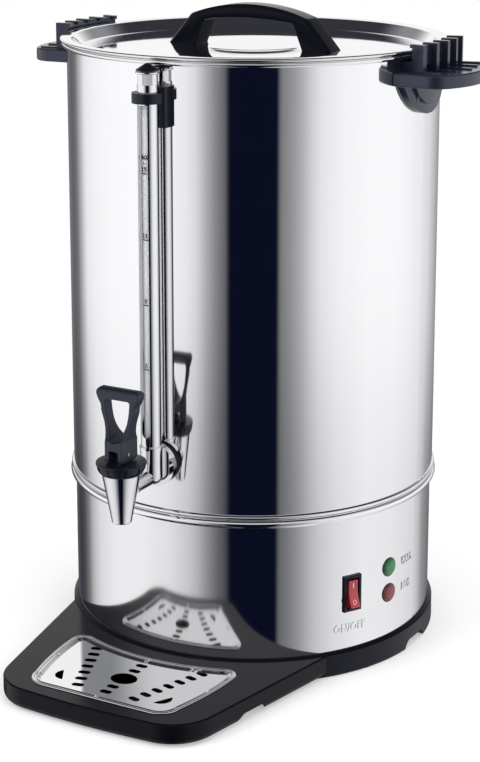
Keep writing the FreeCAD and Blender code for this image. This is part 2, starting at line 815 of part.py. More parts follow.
# Outlet and gauge
def outlet_tee():
    """Chromed fitting: thread through the wall, socket for the gauge and boss for the tap."""
    body = rod_y(tee_flange_r, flange_front_y, tee_front_y, outlet_z)
    low_edge = tee_low_z + tee_round
    bend = tee_round * (1 - math.sqrt(0.5))
    socket = moved(revolved(
        (0, tee_low_z), (tee_r - tee_round, tee_low_z),
        ((tee_r - bend, tee_low_z + bend), (tee_r, low_edge)),
        (tee_r, tee_high_z), (0, tee_high_z)), 0, gauge_y)
    body = body.fuse([
        rod_y(thread_r, tee_front_y, thread_end_y, outlet_z),
        socket,
        rod(tee_r + 0.5, tee_high_z - 2.2, tee_high_z - 0.6, 0, gauge_y),
        rod_y(shank_r, shank_joint_y, gauge_y, shank_z)])
    body = body.cut(group([
        rod_y(thread_bore_r, gauge_y, thread_end_y + 1, outlet_z),
        rod(glass_r + 0.2, shank_z - shank_bore_r, tee_high_z + 1, 0, gauge_y),
        rod(guard_in_r, tee_high_z - seal_high - 0.5, tee_high_z + 1, 0, gauge_y),
        rod_y(spigot_r + bolt_gap, shank_joint_y - 1, gauge_y, shank_z)]))
    return body


def wall_gasket():
    """Silicone gasket that fits the round wall to the flat flange."""
    body = rod_y(tee_flange_r - 1.0, tee_front_y, -tank_r + 3, outlet_z)
    body = body.cut(rod(tank_r, outlet_z - 40, outlet_z + 40))
    return body.cut(rod_y(thread_r + bolt_gap, -tank_r - 20, -tank_r + 20, outlet_z))


def inner_washer():
    """Washer inside the tank, round outside and flat towards the nut."""
    back_y = -tank_in_r + washer_thick
    body = rod_y(washer_r, -tank_r - 2, back_y, outlet_z)
    body = body.common(rod(tank_in_r, outlet_z - 40, outlet_z + 40))
    return body.cut(rod_y(thread_r + bolt_gap, -tank_r - 20, -tank_r + 20, outlet_z))


def lock_nut():
    """Nut that clamps the tee to the tank wall."""
    front_y = -tank_in_r + washer_thick
    body = prism_y(6, lock_nut_r, front_y, front_y + lock_nut_thick, outlet_z)
    return body.cut(rod_y(thread_r + bolt_gap, front_y - 1, front_y + lock_nut_thick + 1, outlet_z))


def gauge_guard():
    """Chromed tube with a long slot towards the front."""
    body = tube(guard_r, guard_in_r, tee_high_z, guard_high_z, 0, gauge_y)
    half = guard_slot / 2
    slot = block(-half, half, gauge_y - guard_r - 1, gauge_y, slot_low_z + half, slot_high_z)
    slot = slot.fuse(rod_y(half, gauge_y - guard_r - 1, gauge_y, slot_low_z + half))
    return body.cut(slot)


def gauge_glass():
    """Glass tube of the gauge."""
    return tube(glass_r, glass_r - glass_wall, glass_low_z, glass_high_z, 0, gauge_y)


def gauge_seals():
    """Rubber rings at both ends of the glass."""
    low = tube(guard_in_r - bolt_gap, glass_r + bolt_gap, tee_high_z - seal_high - 0.4,
               tee_high_z - 0.4, 0, gauge_y)
    high = tube(guard_in_r - bolt_gap, glass_r + bolt_gap, guard_high_z - seal_high,
                guard_high_z - bolt_gap, 0, gauge_y)
    return group([low, high])


def gauge_cap():
    """Chromed cap with a faceted neck and a thin flange."""
    low_z = guard_high_z
    body = tube(guard_r, glass_r + 0.1, low_z, low_z + 2.2)
    neck = prism(12, cap_neck_r, low_z + 2.2, cap_flange_z)
    top = revolved((0, cap_flange_z), (cap_neck_r - 0.4, cap_flange_z),
                   (cap_flange_r, cap_flange_z + 0.7), (cap_flange_r, cap_flange_z + 1.4),
                   (cap_flange_r - 0.6, cap_flange_z + cap_flange_high),
                   (0, cap_flange_z + cap_flange_high))
    body = body.fuse([neck, top])
    body = body.cut(rod(glass_r + 0.1, low_z - 1, glass_high_z + 0.5))
    return moved(body, 0, gauge_y)


def gauge_cap_tip():
    """Black cone on top of the gauge."""
    low_z = cap_flange_z + cap_flange_high
    top = low_z + cap_cone_high
    body = revolved((0, low_z), (cap_flange_r - 0.6, low_z), (cap_flange_r - 0.5, low_z + 0.5),
                    (4.6, low_z + 2.9), (1.8, top - 0.4), (1.2, top), (0, top))
    return moved(body, 0, gauge_y)


def gauge_bracket():
    """Black clip that holds the guard away from the wall."""
    body = block(-bracket_half, bracket_half, bracket_front_y, -tank_r + 4,
                 bracket_low_z, bracket_high_z)
    upright = [edge for edge in body.Edges
               if edge.BoundBox.ZLength > 5 and edge.BoundBox.YMax < bracket_front_y + 0.1]
    body = body.makeFillet(3.4, upright)
    body = body.fuse(rod(bracket_ring_r, bracket_ring_low_z, bracket_ring_high_z, 0, gauge_y))
    return body.cut(group([
        rod(tank_r + seat_gap, bracket_low_z - 5, bracket_high_z + 5),
        rod(guard_r + bolt_gap, bracket_low_z - 5, bracket_high_z + 5, 0, gauge_y),
        rod_y(bracket_screw_r, gauge_y, -tank_r + 9, bracket_screw_z)]))


def gauge_bracket_screw():
    """Screw from inside the tank into the clip."""
    tip_y = gauge_y + guard_r + 0.5
    head_y = -tank_in_r + 0.55
    body = rod_y(bracket_screw_r - bolt_gap, tip_y, head_y, bracket_screw_z)
    return body.fuse(rod_y(4.0, head_y, head_y + 2.4, bracket_screw_z))


# Tap
def tap_body():
    """Chromed body with the valve seat, the spout below and the shank behind."""
    body = revolved(
        (nozzle_r, spout_low_z), (spout_tip_r - 0.8, spout_low_z),
        ((spout_tip_r - 0.1, spout_low_z + 0.3), (spout_tip_r + 0.15, spout_low_z + 1.2)),
        (spout_top_r, spout_high_z), (neck_r, spout_high_z), (neck_r, neck_high_z),
        (chamber_r, neck_high_z), (chamber_r, seat_z), (nozzle_r, seat_z))
    body = moved(body, 0, tap_y)
    back_y = shank_joint_y - bolt_gap
    shank = rod_y(shank_r, tap_y + 5, back_y, shank_z)
    shank = shank.fuse(rod_y(spigot_r, back_y - 1, shank_joint_y + spigot_long, shank_z))
    collar = Part.makeCone(shank_r + 1.8, shank_r, 5.0, Vector(0, tap_y + 9.4, shank_z), Vector(0, 1, 0))
    body = body.fuse([shank, collar])
    return body.cut(group([
        rod(chamber_r, seat_z, neck_high_z + 1, 0, tap_y),
        rod_y(shank_bore_r, tap_y, shank_joint_y + spigot_long + 1, shank_z)]))


def tap_bonnet():
    """Black cap that screws on the body and guides the stem."""
    low_z = spout_high_z + seat_gap
    flange_low_z = bonnet_high_z - bonnet_flange
    belly_z = low_z + (flange_low_z - low_z) * 0.4
    body = revolved(
        (neck_r + 0.1, low_z), (bonnet_skirt_r, low_z),
        ((bonnet_belly_r, belly_z), (bonnet_r - 0.9, flange_low_z)),
        (bonnet_r, flange_low_z + 0.4), (bonnet_r, bonnet_high_z - 0.8),
        (bonnet_r - 0.8, bonnet_high_z), (stem_r + run_gap, bonnet_high_z),
        (stem_r + run_gap, spring_high_z), (chamber_r - 0.2, spring_high_z),
        (chamber_r - 0.2, neck_high_z + 0.1), (neck_r + 0.1, neck_high_z + 0.1))
    grooves = []
    for i in range(bonnet_grooves):
        groove = block(-bonnet_groove_half, bonnet_groove_half, -bonnet_r, -bonnet_groove_in_r,
                       low_z - 1, flange_low_z - 0.2)
        grooves.append(turned(groove, 360.0 * i / bonnet_grooves))
    return moved(body.cut(group(grooves)), 0, tap_y)


def tap_stem():
    """Steel stem with a flange for the spring and an eye for the pin."""
    body = rod(stem_r, seat_z + 1.2, pin_z - 2)
    body = body.fuse(rod(stem_flange_r, stem_flange_z, spring_low_z))
    eye = rod_x(eye_r, eye_half, 0, pin_z)
    eye = eye.fuse(block(-eye_half, eye_half, -eye_r + 1, eye_r - 1, bonnet_high_z + 0.5, pin_z))
    body = body.fuse(eye)
    body = body.cut(rod_x(pin_r + run_gap, eye_half + 1, 0, pin_z))
    return moved(body, 0, tap_y)


def seat_cup():
    """Silicone cup that closes the spout."""
    low_z = seat_z + rest_gap
    body = revolved((0, low_z), (cup_r - 0.8, low_z), (cup_r, low_z + 0.9),
                    (cup_r, low_z + 2.4), (stem_r + 1.2, low_z + cup_high), (0, low_z + cup_high))
    body = body.cut(rod(stem_r, seat_z + 1.2, seat_z + 20))
    return moved(body, 0, tap_y)


def tap_spring():
    """Wound spring between the flange of the stem and the bonnet."""
    low_z = spring_low_z + spring_wire_r + 0.05
    high = spring_high_z - spring_wire_r - 0.05 - low_z
    helix = Part.makeHelix(high / spring_turns, high, spring_r)
    section = Part.Wire([Part.makeCircle(spring_wire_r, Vector(spring_r, 0, 0), Vector(0, 1, 0))])
    coil = Part.Wire(helix.Edges).makePipeShell([section], True, True)
    least_gap = high / spring_turns - 2 * spring_wire_r
    print("tap spring: least gap between turns %.2f mm" % least_gap)
    return moved(coil, 0, tap_y, low_z)


def lever_cam():
    """Foot of the lever's side outline, whose front edge rolls the stem up at a steady rate."""
    drop = pin_z - bonnet_high_z - piece_gap
    points = []
    for i in range(8):
        turn = math.radians(lever_swing) * i / 7
        reach = drop + cam_lift_per_radian * turn
        y = -cam_lift_per_radian * math.cos(turn) - reach * math.sin(turn)
        z = cam_lift_per_radian * math.sin(turn) - reach * math.cos(turn)
        points.append((y, pin_z + z))
    return points


def tap_lever():
    """Black lever: a foot with a fork, and a loop to pull."""
    cam = lever_cam()
    front_y = cam[-1][0]
    back_y = lever_base_back
    half_y = lever_thick / 2
    bar_low_z = lever_high_z - lever_bar
    neck_z = lever_shoulder_z + 5.5
    thin_z = lever_waist_z + 4.0
    side = end_slab(
        lever_half + 1, cam[0], *cam[1:], (front_y, lever_shoulder_z),
        ((-half_y - 2.2, neck_z), (-half_y, thin_z)),
        (-half_y, lever_high_z - 3.4), ((-half_y + 1.1, lever_high_z - 1.0), (-half_y + 3.4, lever_high_z)),
        (half_y - 3.4, lever_high_z), ((half_y - 1.1, lever_high_z - 1.0), (half_y, lever_high_z - 3.4)),
        (half_y, thin_z), ((half_y + 2.2, neck_z), (back_y, lever_shoulder_z)),
        (back_y, cam[-1][1]), (cam_lift_per_radian, cam[0][1]))
    base = lever_base_half
    face = side_slab(
        30, (-base, bonnet_high_z), (-base, lever_shoulder_z),
        ((-lever_waist_half, lever_waist_z), (-lever_leg_half, lever_leg_z)),
        (-lever_leg_half - 0.4, bar_low_z - 4),
        ((-lever_half + 1.6, bar_low_z - 0.8), (-lever_half, bar_low_z + 3.2)),
        ((-lever_half + 0.8, lever_high_z - 1.4), (-lever_half + 4.2, lever_high_z + 0.2)),
        (lever_half - 4.2, lever_high_z + 0.2),
        ((lever_half - 0.8, lever_high_z - 1.4), (lever_half, bar_low_z + 3.2)),
        ((lever_half - 1.6, bar_low_z - 0.8), (lever_leg_half + 0.4, bar_low_z - 4)),
        (lever_leg_half, lever_leg_z),
        ((lever_waist_half, lever_waist_z), (base, lever_shoulder_z)), (base, bonnet_high_z))
    hole_x = lever_hole_half
    low_z = lever_hole_low_z
    hole = side_slab(
        30, (-hole_x + 1.6, bar_low_z), (hole_x - 1.6, bar_low_z),
        ((hole_x - 0.4, bar_low_z - 0.5), (hole_x, bar_low_z - 1.9)),
        ((hole_x * 0.79, bar_low_z - 16), (hole_x * 0.3, low_z + 1.2)),
        ((0, low_z), (-hole_x * 0.3, low_z + 1.2)),
        ((-hole_x * 0.79, bar_low_z - 16), (-hole_x, bar_low_z - 1.9)),
        ((-hole_x + 0.4, bar_low_z - 0.5), (-hole_x + 1.6, bar_low_z)))
    fork = block(-eye_half - fork_gap, eye_half + fork_gap, -20, 20,
                 bonnet_high_z - 5, pin_z + eye_r + fork_gap)
    body = side.common(face).cut(group([hole, fork, rod_x(pin_r, 20, 0, pin_z)]))
    return moved(body, 0, tap_y)


def lever_pin():
    """Pin through the fork of the lever and the eye of the stem."""
    return moved(rod_x(pin_r, lever_base_half - 0.6, 0, pin_z), 0, tap_y)


# Side handles
def side_handle():
    """Black moulding: grip, comb beside the rim and pad on the wall, built at the front."""
    inside = rod(tank_r + wall_gap, 400, 500)
    bow = math.radians(grip_bow_angle)
    half_bow = (math.pi / 2 + bow) / 2
    end_x = grip_half - grip_corner_r * (1 - math.sin(bow))
    end_y = -grip_out_r + end_x / math.sin(bow) * (1 - math.cos(bow))
    corner_x = grip_half - grip_corner_r
    corner_y = end_y + grip_corner_r * math.cos(bow)
    bend_x = corner_x + grip_corner_r * math.sin(half_bow)
    bend_y = corner_y - grip_corner_r * math.cos(half_bow)
    grip = slab(grip_low_z, grip_high_z,
                (-grip_half + 1.5, -tank_r + 6), (-grip_half, corner_y),
                ((-bend_x, bend_y), (-end_x, end_y)), ((0, -grip_out_r), (end_x, end_y)),
                ((bend_x, bend_y), (grip_half, corner_y)),
                (grip_half - 1.5, -tank_r + 6))
    rim_edges = [edge for edge in grip.Edges
                 if edge.BoundBox.ZLength < 1e-6 and edge.BoundBox.YMax < -tank_r + 7]
    grip = grip.makeFillet(1.5, rim_edges)
    pieces = [
        wall_band(comb_in_r, comb_web_r, comb_web_low_z, comb_high_z - 1.0, comb_half_angle),
        wall_band(tank_r, comb_in_r + 1.5, grip_high_z - 1, comb_seat_z, comb_half_angle)]
    for i in range(rib_count):
        angle = (i - (rib_count - 1) / 2) * rib_step_angle
        rib = block(-rib_half, rib_half, -comb_rib_r, -comb_in_r - 0.2, grip_high_z - 1, comb_high_z)
        hook = block(-rib_half, rib_half, -comb_in_r - 1, -hook_r,
                     comb_high_z - hook_thick, comb_high_z)
        ridge = block(-rib_half * 0.7, rib_half * 0.7, -grip_rib_end_r + abs(i - 2) * 2.2, -comb_rib_r + 1,
                      grip_high_z - 1, grip_high_z + grip_rib_high)
        for piece in (rib, hook, ridge):
            pieces.append(turned(piece, angle))
    pieces.append(wall_band(comb_in_r, comb_in_r + 2.4, grip_high_z - 1, comb_web_low_z + 1,
                            comb_half_angle))

    def pad(half, low_z, out_r):
        face = side_slab(200, (-half, grip_low_z + 2), (-half, grip_low_z - 1),
                         ((0, low_z), (half, grip_low_z - 1)), (half, grip_low_z + 2))
        face = face.common(rod(out_r, low_z - 5, grip_low_z + 2))
        return face.common(block(-60, 60, -200, -100, low_z - 5, grip_low_z + 2))

    pieces.append(pad(pad_half, pad_low_z, pad_out_r))
    pieces.append(pad(pad_half * 0.72, pad_low_z + 7, pad_boss_r))
    body = grip.fuse(pieces)
    cutters = [inside]
    for side in (-1, 1):
        cutters.append(rod_y(handle_screw_r, -pad_out_r + 0.4, -tank_r + 12,
                             handle_screw_z, side * handle_screw_x))
    return body.cut(group(cutters)).removeSplitter()


def backing_face_y():
    """Place of the flat faces on the backing plates, where the screw heads rest."""
    return -math.sqrt((tank_in_r - backing_sheet) ** 2 - handle_screw_x ** 2) + 0.35


def handle_screws():
    """Screws from inside the tank into the side handles."""
    tip_y = -pad_out_r + 0.6
    head_y = backing_face_y() + seat_gap
    screws = []
    for angle in handle_angles:
        for side in (-1, 1):
            x = side * handle_screw_x
            screw = rod_y(handle_screw_r - bolt_gap, tip_y, head_y + 0.5, handle_screw_z, x)
            head = rod_y(handle_screw_head_r, head_y, head_y + handle_screw_head_high, handle_screw_z, x)
            screw = screw.fuse(head)
            screws.append(turned(screw, angle))
    return group(screws)


def backing_plates():
    """Strips inside the wall that spread the load of the handles."""
    strips = []
    clear_y = -tank_in_r + handle_screw_x
    for angle in handle_angles:
        strip = wall_band(tank_in_r - backing_sheet, tank_in_r - seat_gap,
                          handle_screw_z - backing_half_high, handle_screw_z + backing_half_high,
                          backing_half_angle)
        for side in (-1, 1):
            x = side * handle_screw_x
            strip = strip.cut(rod_y(handle_screw_r + clear_gap, -tank_r, clear_y, handle_screw_z, x))
            strip = strip.cut(rod_y(handle_screw_head_r + 0.4, backing_face_y(), clear_y, handle_screw_z, x))
        strips.append(turned(strip, angle))
    return group(strips)


# Lid
def lid_pan():
    """Steel lid: a thick lip on the rim, a hollow wall and a flat disc with a dish."""
    t = lid_sheet
    low_z = rim_high_z + rest_gap
    sphere_r = (dish_r ** 2 + dish_depth ** 2) / (2 * dish_depth)
    dish_mid = math.sqrt(sphere_r ** 2 - (dish_r / 2) ** 2) - math.sqrt(sphere_r ** 2 - dish_r ** 2)
    body = revolved(
        (0, lid_disc_z - dish_depth),
        ((dish_r / 2, lid_disc_z - dish_mid), (dish_r, lid_disc_z)),
        (lid_disc_r - 3, lid_disc_z),
        ((lid_disc_r + 2.6, lid_disc_z + 1.9), (lid_wall_r - 2.0, lid_high_z - 1.8)),
        ((lid_wall_r, lid_high_z - 0.4), (lid_wall_r + 2.4, lid_high_z)),
        (lid_r - 1.2, lid_high_z),
        ((lid_r, (lid_high_z + low_z) / 2), (lid_r - 1.0, low_z)),
        (lid_wall_r + 1.4, low_z), (lid_wall_r + 0.2, low_z - 0.3),
        ((lid_disc_r + 3.6, lid_disc_z + 0.9), (lid_disc_r - 2.6, lid_disc_z - t)),
        (dish_r, lid_disc_z - t),
        ((dish_r / 2, lid_disc_z - dish_mid - t), (0, lid_disc_z - dish_depth - t)))
    holes = [rod(lid_screw_r + bolt_gap, 440, 470, side * lid_screw_x, 0) for side in (-1, 1)]
    return body.cut(group(holes))


def lid_bar_wire(inset, y):
    """Outline of the lid handle, drawn in by an inset, at one depth."""
    base_z = lid_disc_z + seat_gap
    out = inset * 0.9
    return wire_of(
        (-lid_bar_foot_out + out, base_z),
        [(-lid_bar_top_out + out, lid_bar_top_out_z - inset * 0.5),
         ((0, lid_bar_crest_z - inset), (lid_bar_top_out - out, lid_bar_top_out_z - inset * 0.5)),
         (lid_bar_foot_out - out, base_z), (lid_bar_foot_in + out * 0.5, base_z),
         (lid_bar_top_in + out * 0.5, lid_bar_top_in_z + inset * 0.4),
         ((0, lid_bar_crest_in_z + inset * 0.4),
          (-lid_bar_top_in - out * 0.5, lid_bar_top_in_z + inset * 0.4)),
         (-lid_bar_foot_in - out * 0.5, base_z)],
        lambda x, z: Vector(x, y, z))


def lid_handle():
    """Black bridge handle with bevelled edges."""
    inner_y = lid_bar_half - lid_bar_bevel
    wires = [lid_bar_wire(lid_bar_bevel, -lid_bar_half), lid_bar_wire(0, -inner_y),
             lid_bar_wire(0, inner_y), lid_bar_wire(lid_bar_bevel, lid_bar_half)]
    body = Part.makeLoft(wires, True, True)
    hole_z = lid_disc_z + lid_screw_long + 0.5
    holes = [rod(lid_screw_r, 440, hole_z, side * lid_screw_x, 0) for side in (-1, 1)]
    return body.cut(group(holes))


def lid_screws():
    """Two screws from under the disc into the feet of the handle."""
    screw = pan_screw(lid_screw_r - bolt_gap, lid_screw_head_r, lid_screw_head_high, lid_screw_long)
    low_z = lid_disc_z - lid_sheet - seat_gap
    return group([moved(screw, side * lid_screw_x, 0, low_z) for side in (-1, 1)])


# Percolator
def riser_tube():
    """Tube that carries hot water up, with a stop for the basket."""
    low_z = well_floor_z + bell_high - 2
    body = rod(riser_r, low_z, riser_high_z)
    body = body.fuse(rod(riser_stop_r, riser_stop_z, riser_stop_z + riser_stop_high))
    return body.cut(rod(riser_r - riser_wall, low_z - 1, riser_high_z + 1))


def pump_bell():
    """Bell at the foot of the tube that stands in the well."""
    low_z = well_floor_z + rest_gap
    t = bell_sheet
    body = revolved((bell_r, low_z), (bell_r, low_z + 3), (riser_r + 3, low_z + bell_high - 3),
                    (riser_r + t, low_z + bell_high), (riser_r + bolt_gap, low_z + bell_high),
                    (riser_r + bolt_gap, low_z + bell_high - 3.4),
                    (riser_r + 2.4, low_z + bell_high - 3.4 - t), (bell_r - t, low_z + 3 - t * 0.6),
                    (bell_r - t, low_z))
    vents = [turned(block(-3, 3, -bell_r - 2, -bell_r + 4, low_z - 1, low_z + 1.6), 60 * i)
             for i in range(6)]
    return body.cut(group(vents))


def basket():
    """Coffee basket with a perforated floor and a hub on the tube."""
    low_z = riser_stop_z + riser_stop_high + rest_gap
    t = basket_sheet
    body = revolved(
        (riser_r + run_gap, low_z), (basket_r - 3, low_z), (basket_r, low_z + 3),
        (basket_r, basket_high_z - 2), (basket_r + 1.4, basket_high_z - 1.2),
        (basket_r + 1.4, basket_high_z), (basket_r - t, basket_high_z), (basket_r - t, low_z + 3 + t),
        (basket_r - 3 - t * 0.6, low_z + t), (hub_r, low_z + t), (hub_r, low_z + hub_high),
        (riser_r + run_gap, low_z + hub_high))
    holes = []
    for ring, count in ((24.0, 8), (42.0, 14), (60.0, 20), (78.0, 26)):
        for i in range(count):
            place = ring_point(ring, 360.0 * i / count)
            holes.append(rod(1.3, low_z - 1, low_z + 2, place.x, place.y))
    return body.cut(group(holes))


def spreader():
    """Perforated lid of the basket that spreads the water."""
    low_z = basket_high_z + rest_gap
    t = basket_sheet
    body = revolved(
        (riser_r + 0.5, low_z + 4), (20, low_z + 4), (26, low_z), (spreader_r, low_z),
        (spreader_r, low_z - spreader_lip), (spreader_r + t, low_z - spreader_lip),
        (spreader_r + t, low_z + t), (26.4, low_z + t), (20.4, low_z + 4 + t),
        (riser_r + 1.3, low_z + 4 + t), (riser_r + 1.3, low_z + 12), (riser_r + 0.5, low_z + 12))
    holes = []
    for ring, count in ((36.0, 10), (56.0, 16), (76.0, 22)):
        for i in range(count):
            place = ring_point(ring, 360.0 * i / count)
            holes.append(rod(1.1, low_z - 1, low_z + 2, place.x, place.y))
    return body.cut(group(holes))


# Switch, lamps and inlet, built at the front and turned
def switch_case():
    """Black bezel and case of the rocker switch."""
    front_y = -housing_r - bezel_thick
    bezel = block(-bezel_half_x, bezel_half_x, front_y, -housing_r + 3,
                  switch_z - bezel_half_z, switch_z + bezel_half_z)
    front_edges = [edge for edge in bezel.Edges if edge.BoundBox.YMax < front_y + 0.01]
    bezel = bezel.makeFillet(0.7, front_edges)
    bezel = bezel.cut(rod(housing_r + seat_gap, 0, 120))
    case = block(-switch_body_half_x, switch_body_half_x, -housing_r - 1, -housing_r + switch_body_deep,
                 switch_z - switch_body_half_z, switch_z + switch_body_half_z)
    body = bezel.fuse(case)
    room_x = rocker_half_x + piece_gap
    room_z = rocker_half_z + rocker_clear
    room = block(-room_x, room_x, front_y - 1, -housing_r + rocker_pivot_in + 8,
                 switch_z - room_z, switch_z + room_z)
    pivot_y = -housing_r + rocker_pivot_in
    bore = rod_x(trunnion_r + run_gap, room_x + 0.8, pivot_y, switch_z)
    body = body.cut(group([room, bore]))
    tabs = [block(-0.4, 0.4, -housing_r + switch_body_deep - 1, -housing_r + switch_body_deep + 8,
                  switch_z + z - 3, switch_z + z + 3) for z in (-7, 7)]
    return turned(body.fuse(tabs), switch_angle)


def rocker():
    """Red rocker, stored with its upper end pressed in."""
    steps = [(1.5, -rocker_half_z), (5.5, -rocker_half_z), ((4.0, -4.5), (3.6, 0)),
             ((4.0, 4.5), (5.5, rocker_half_z)), (1.5, rocker_half_z), (-3, 6)]
    wire = wire_of((-3, -6), steps, lambda out, up: Vector(-rocker_half_x, -out, up))
    body = Part.Face(wire).extrude(Vector(2 * rocker_half_x, 0, 0))
    body = body.fuse(rod_x(trunnion_r, rocker_half_x + piece_gap + 0.6, 0, 0))
    body.rotate(Vector(0, 0, 0), Vector(1, 0, 0), -rocker_tilt)
    body = moved(body, 0, -housing_r + rocker_pivot_in, switch_z)
    return turned(body, switch_angle)


def lamp_lens(z):
    """Domed lens of a pilot lamp."""
    dome_r = (lamp_r ** 2 + lamp_dome ** 2) / (2 * lamp_dome)
    ball = Part.makeSphere(dome_r, Vector(0, -housing_r - lamp_dome - 0.3 + dome_r, z))
    rim = rod_y(lamp_r, -housing_r - 10, -housing_r + 3, z)
    body = ball.common(rim).cut(rod(housing_r + seat_gap, z - 20, z + 20))
    return turned(body, lamp_angle)


def lamp_holders():
    """Cylinders behind the lenses that hold the lamps."""
    holders = []
    for z in lamp_z:
        body = rod_y(lamp_body_r, -housing_r - 0.02, -housing_r + lamp_body_deep, z)
        body = body.common(rod(housing_r, z - 20, z + 20))
        pins = [block(-0.4, 0.4, -housing_r + lamp_body_deep - 1, -housing_r + lamp_body_deep + 6,
                      z + up - 1.4, z + up + 1.4) for up in (-2.4, 2.4)]
        holders.append(turned(body.fuse(pins), lamp_angle))
    return group(holders)


def power_inlet():
    """Appliance inlet with a flange that fits the round housing."""
    front_y = -housing_r - inlet_flange_thick
    flange = block(-inlet_flange_half_x, inlet_flange_half_x, front_y, -housing_r + 6,
                   inlet_z - inlet_flange_half_z, inlet_z + inlet_flange_half_z)
    upright = [edge for edge in flange.Edges if edge.BoundBox.YLength > 5]
    flange = flange.makeFillet(3.0, upright).cut(rod(housing_r + seat_gap, 0, 120))
    case = block(-inlet_half_x, inlet_half_x, -housing_r - 1, -housing_r + inlet_deep,
                 inlet_z - inlet_half_z, inlet_z + inlet_half_z)
    body = flange.fuse(case)
    mouth = side_slab(socket_deep / 2, (-socket_half_x, inlet_z - socket_half_z),
                      (socket_half_x, inlet_z - socket_half_z), (socket_half_x, inlet_z + 3),
                      (socket_half_x - 5, inlet_z + socket_half_z),
                      (-socket_half_x + 5, inlet_z + socket_half_z), (-socket_half_x, inlet_z + 3))
    mouth = moved(mouth, 0, front_y + socket_deep / 2 - 0.01)
    holes = [rod_y(inlet_screw_r, -160, -100, inlet_z, side * (inlet_flange_half_x - inlet_screw_edge))
             for side in (-1, 1)]
    slots = contact_slots(0.02)
    return turned(body.cut(group([mouth] + holes + slots)), inlet_angle)


def contact_slots(grow):
    """Three flat contacts of the inlet, grown by a clearance."""
    front_y = -housing_r - inlet_flange_thick + socket_deep - contact_long
    back_y = -housing_r + inlet_deep + 7
    places = ((-7.0, -1.5), (7.0, -1.5), (0.0, 2.5))
    return [block(x - 1.0 - grow, x + 1.0 + grow, front_y, back_y,
                  inlet_z + up - 2.0 - grow, inlet_z + up + 2.0 + grow) for x, up in places]


def inlet_contacts():
    """Brass contacts of the inlet."""
    return group([turned(contact, inlet_angle) for contact in contact_slots(0)])


def inlet_screws():
    """Two screws that hold the inlet."""
    screws = []
    for side in (-1, 1):
        x = side * (inlet_flange_half_x - inlet_screw_edge)
        front_y = -housing_r - inlet_flange_thick
        screw = rod_y(inlet_screw_r - bolt_gap, front_y, -housing_r + 8, inlet_z, x)
        screw = screw.fuse(rod_y(inlet_screw_head_r, front_y - inlet_screw_head_high, front_y, inlet_z, x))
        screws.append(turned(screw, inlet_angle))
    return group(screws)


# Heating
def boil_element():
    """Round heating plate clamped under the well."""
    high_z = well_under_z - seat_gap
    body = tube(element_r, element_hole_r, high_z - element_thick, high_z)
    low_z = high_z - element_thick
    tails = [rod(element_tail_r, low_z - element_tail_long, low_z + 1, side * element_tail_x, 0)
             for side in (-1, 1)]
    return body.fuse(tails)


def element_clamp():
    """Plate that presses the element against the well."""
    high_z = well_under_z - seat_gap - element_thick - seat_gap
    return tube(clamp_r - 2.5, heater_stud_r + 0.3, high_z - clamp_thick, high_z)


def heater_stud():
    """Stud welded under the well."""
    return rod(heater_stud_r, heater_stud_low_z, well_under_z)


def heater_nut():
    """Nut on the stud, under the clamp."""
    high_z = well_under_z - seat_gap - element_thick - seat_gap - clamp_thick - seat_gap
    return moved(hex_nut(heater_stud_r, heater_nut_high), 0, 0, high_z - heater_nut_high)


def warm_element():
    """Flat ring under the floor that keeps the coffee warm."""
    high_z = floor_inner_z - tank_floor_sheet + 0.1
    return tube(warm_ring_out, warm_ring_in, high_z - warm_ring_thick, high_z)


def sensor(angle):
    """Round control that sits against the tank floor."""
    high_z = floor_inner_z - tank_floor_sheet + 0.5
    place = ring_point(sensor_circle_r, angle)
    body = rod(sensor_r, high_z - sensor_high, high_z, place.x, place.y)
    pins = [block(place.x + dx - 3, place.x + dx + 3, place.y - 0.4, place.y + 0.4,
                  high_z - sensor_high - 7, high_z - sensor_high + 1) for dx in (-4, 4)]
    return body.fuse(pins)


def terminal_block():
    """Block on the bottom plate where the leads meet."""
    low_z = plate_high_z + seat_gap
    body = block(-terminal_half_x, terminal_half_x, terminal_y - terminal_half_y,
                 terminal_y + terminal_half_y, low_z, low_z + terminal_high)
    holes = []
    for i in range(3):
        x = (i - 1) * 13.0
        holes.append(rod(2.0, low_z + 6, low_z + 40, x, terminal_y - 5))
        holes.append(rod(2.0, low_z + 6, low_z + 40, x, terminal_y + 5))
    return body.cut(group(holes))


save("tank_shell", tank_shell())
save("tank_bottom", tank_bottom())
save("lower_housing", lower_housing())
save("base_ring", base_ring())
save("feet", feet())
save("bottom_plate", bottom_plate())
save("bottom_screws", bottom_screws())
save("tie_studs", tie_studs())
save("tie_nuts", tie_nuts())
save("drip_tray", drip_tray())
save("tray_pads", tray_pads_group())
save("drip_grid", drip_grid())
save("outlet_tee", outlet_tee())
save("wall_gasket", wall_gasket())
save("inner_washer", inner_washer())
save("lock_nut", lock_nut())
save("gauge_guard", gauge_guard())
save("gauge_glass", gauge_glass())
save("gauge_seals", gauge_seals())
save("gauge_cap", gauge_cap())
save("gauge_cap_tip", gauge_cap_tip())
save("gauge_bracket", gauge_bracket())
save("gauge_bracket_screw", gauge_bracket_screw())
save("tap_body", tap_body())
save("tap_bonnet", tap_bonnet())
save("tap_stem", tap_stem())
save("seat_cup", seat_cup())
save("tap_spring", tap_spring())
save("tap_lever", tap_lever())
save("lever_pin", lever_pin())
handle = side_handle()
save("side_handle_left", turned(handle, handle_angles[0]))
save("side_handle_right", turned(handle, handle_angles[1]))
save("handle_screws", handle_screws())
save("backing_plates", backing_plates())
save("lid_pan", lid_pan())
save("lid_handle", lid_handle())
save("lid_screws", lid_screws())
save("riser_tube", riser_tube())
save("pump_bell", pump_bell())
save("basket", basket())
save("spreader", spreader())
save("switch_case", switch_case())
save("rocker", rocker())
save("lamp_lens_green", lamp_lens(lamp_z[0]))
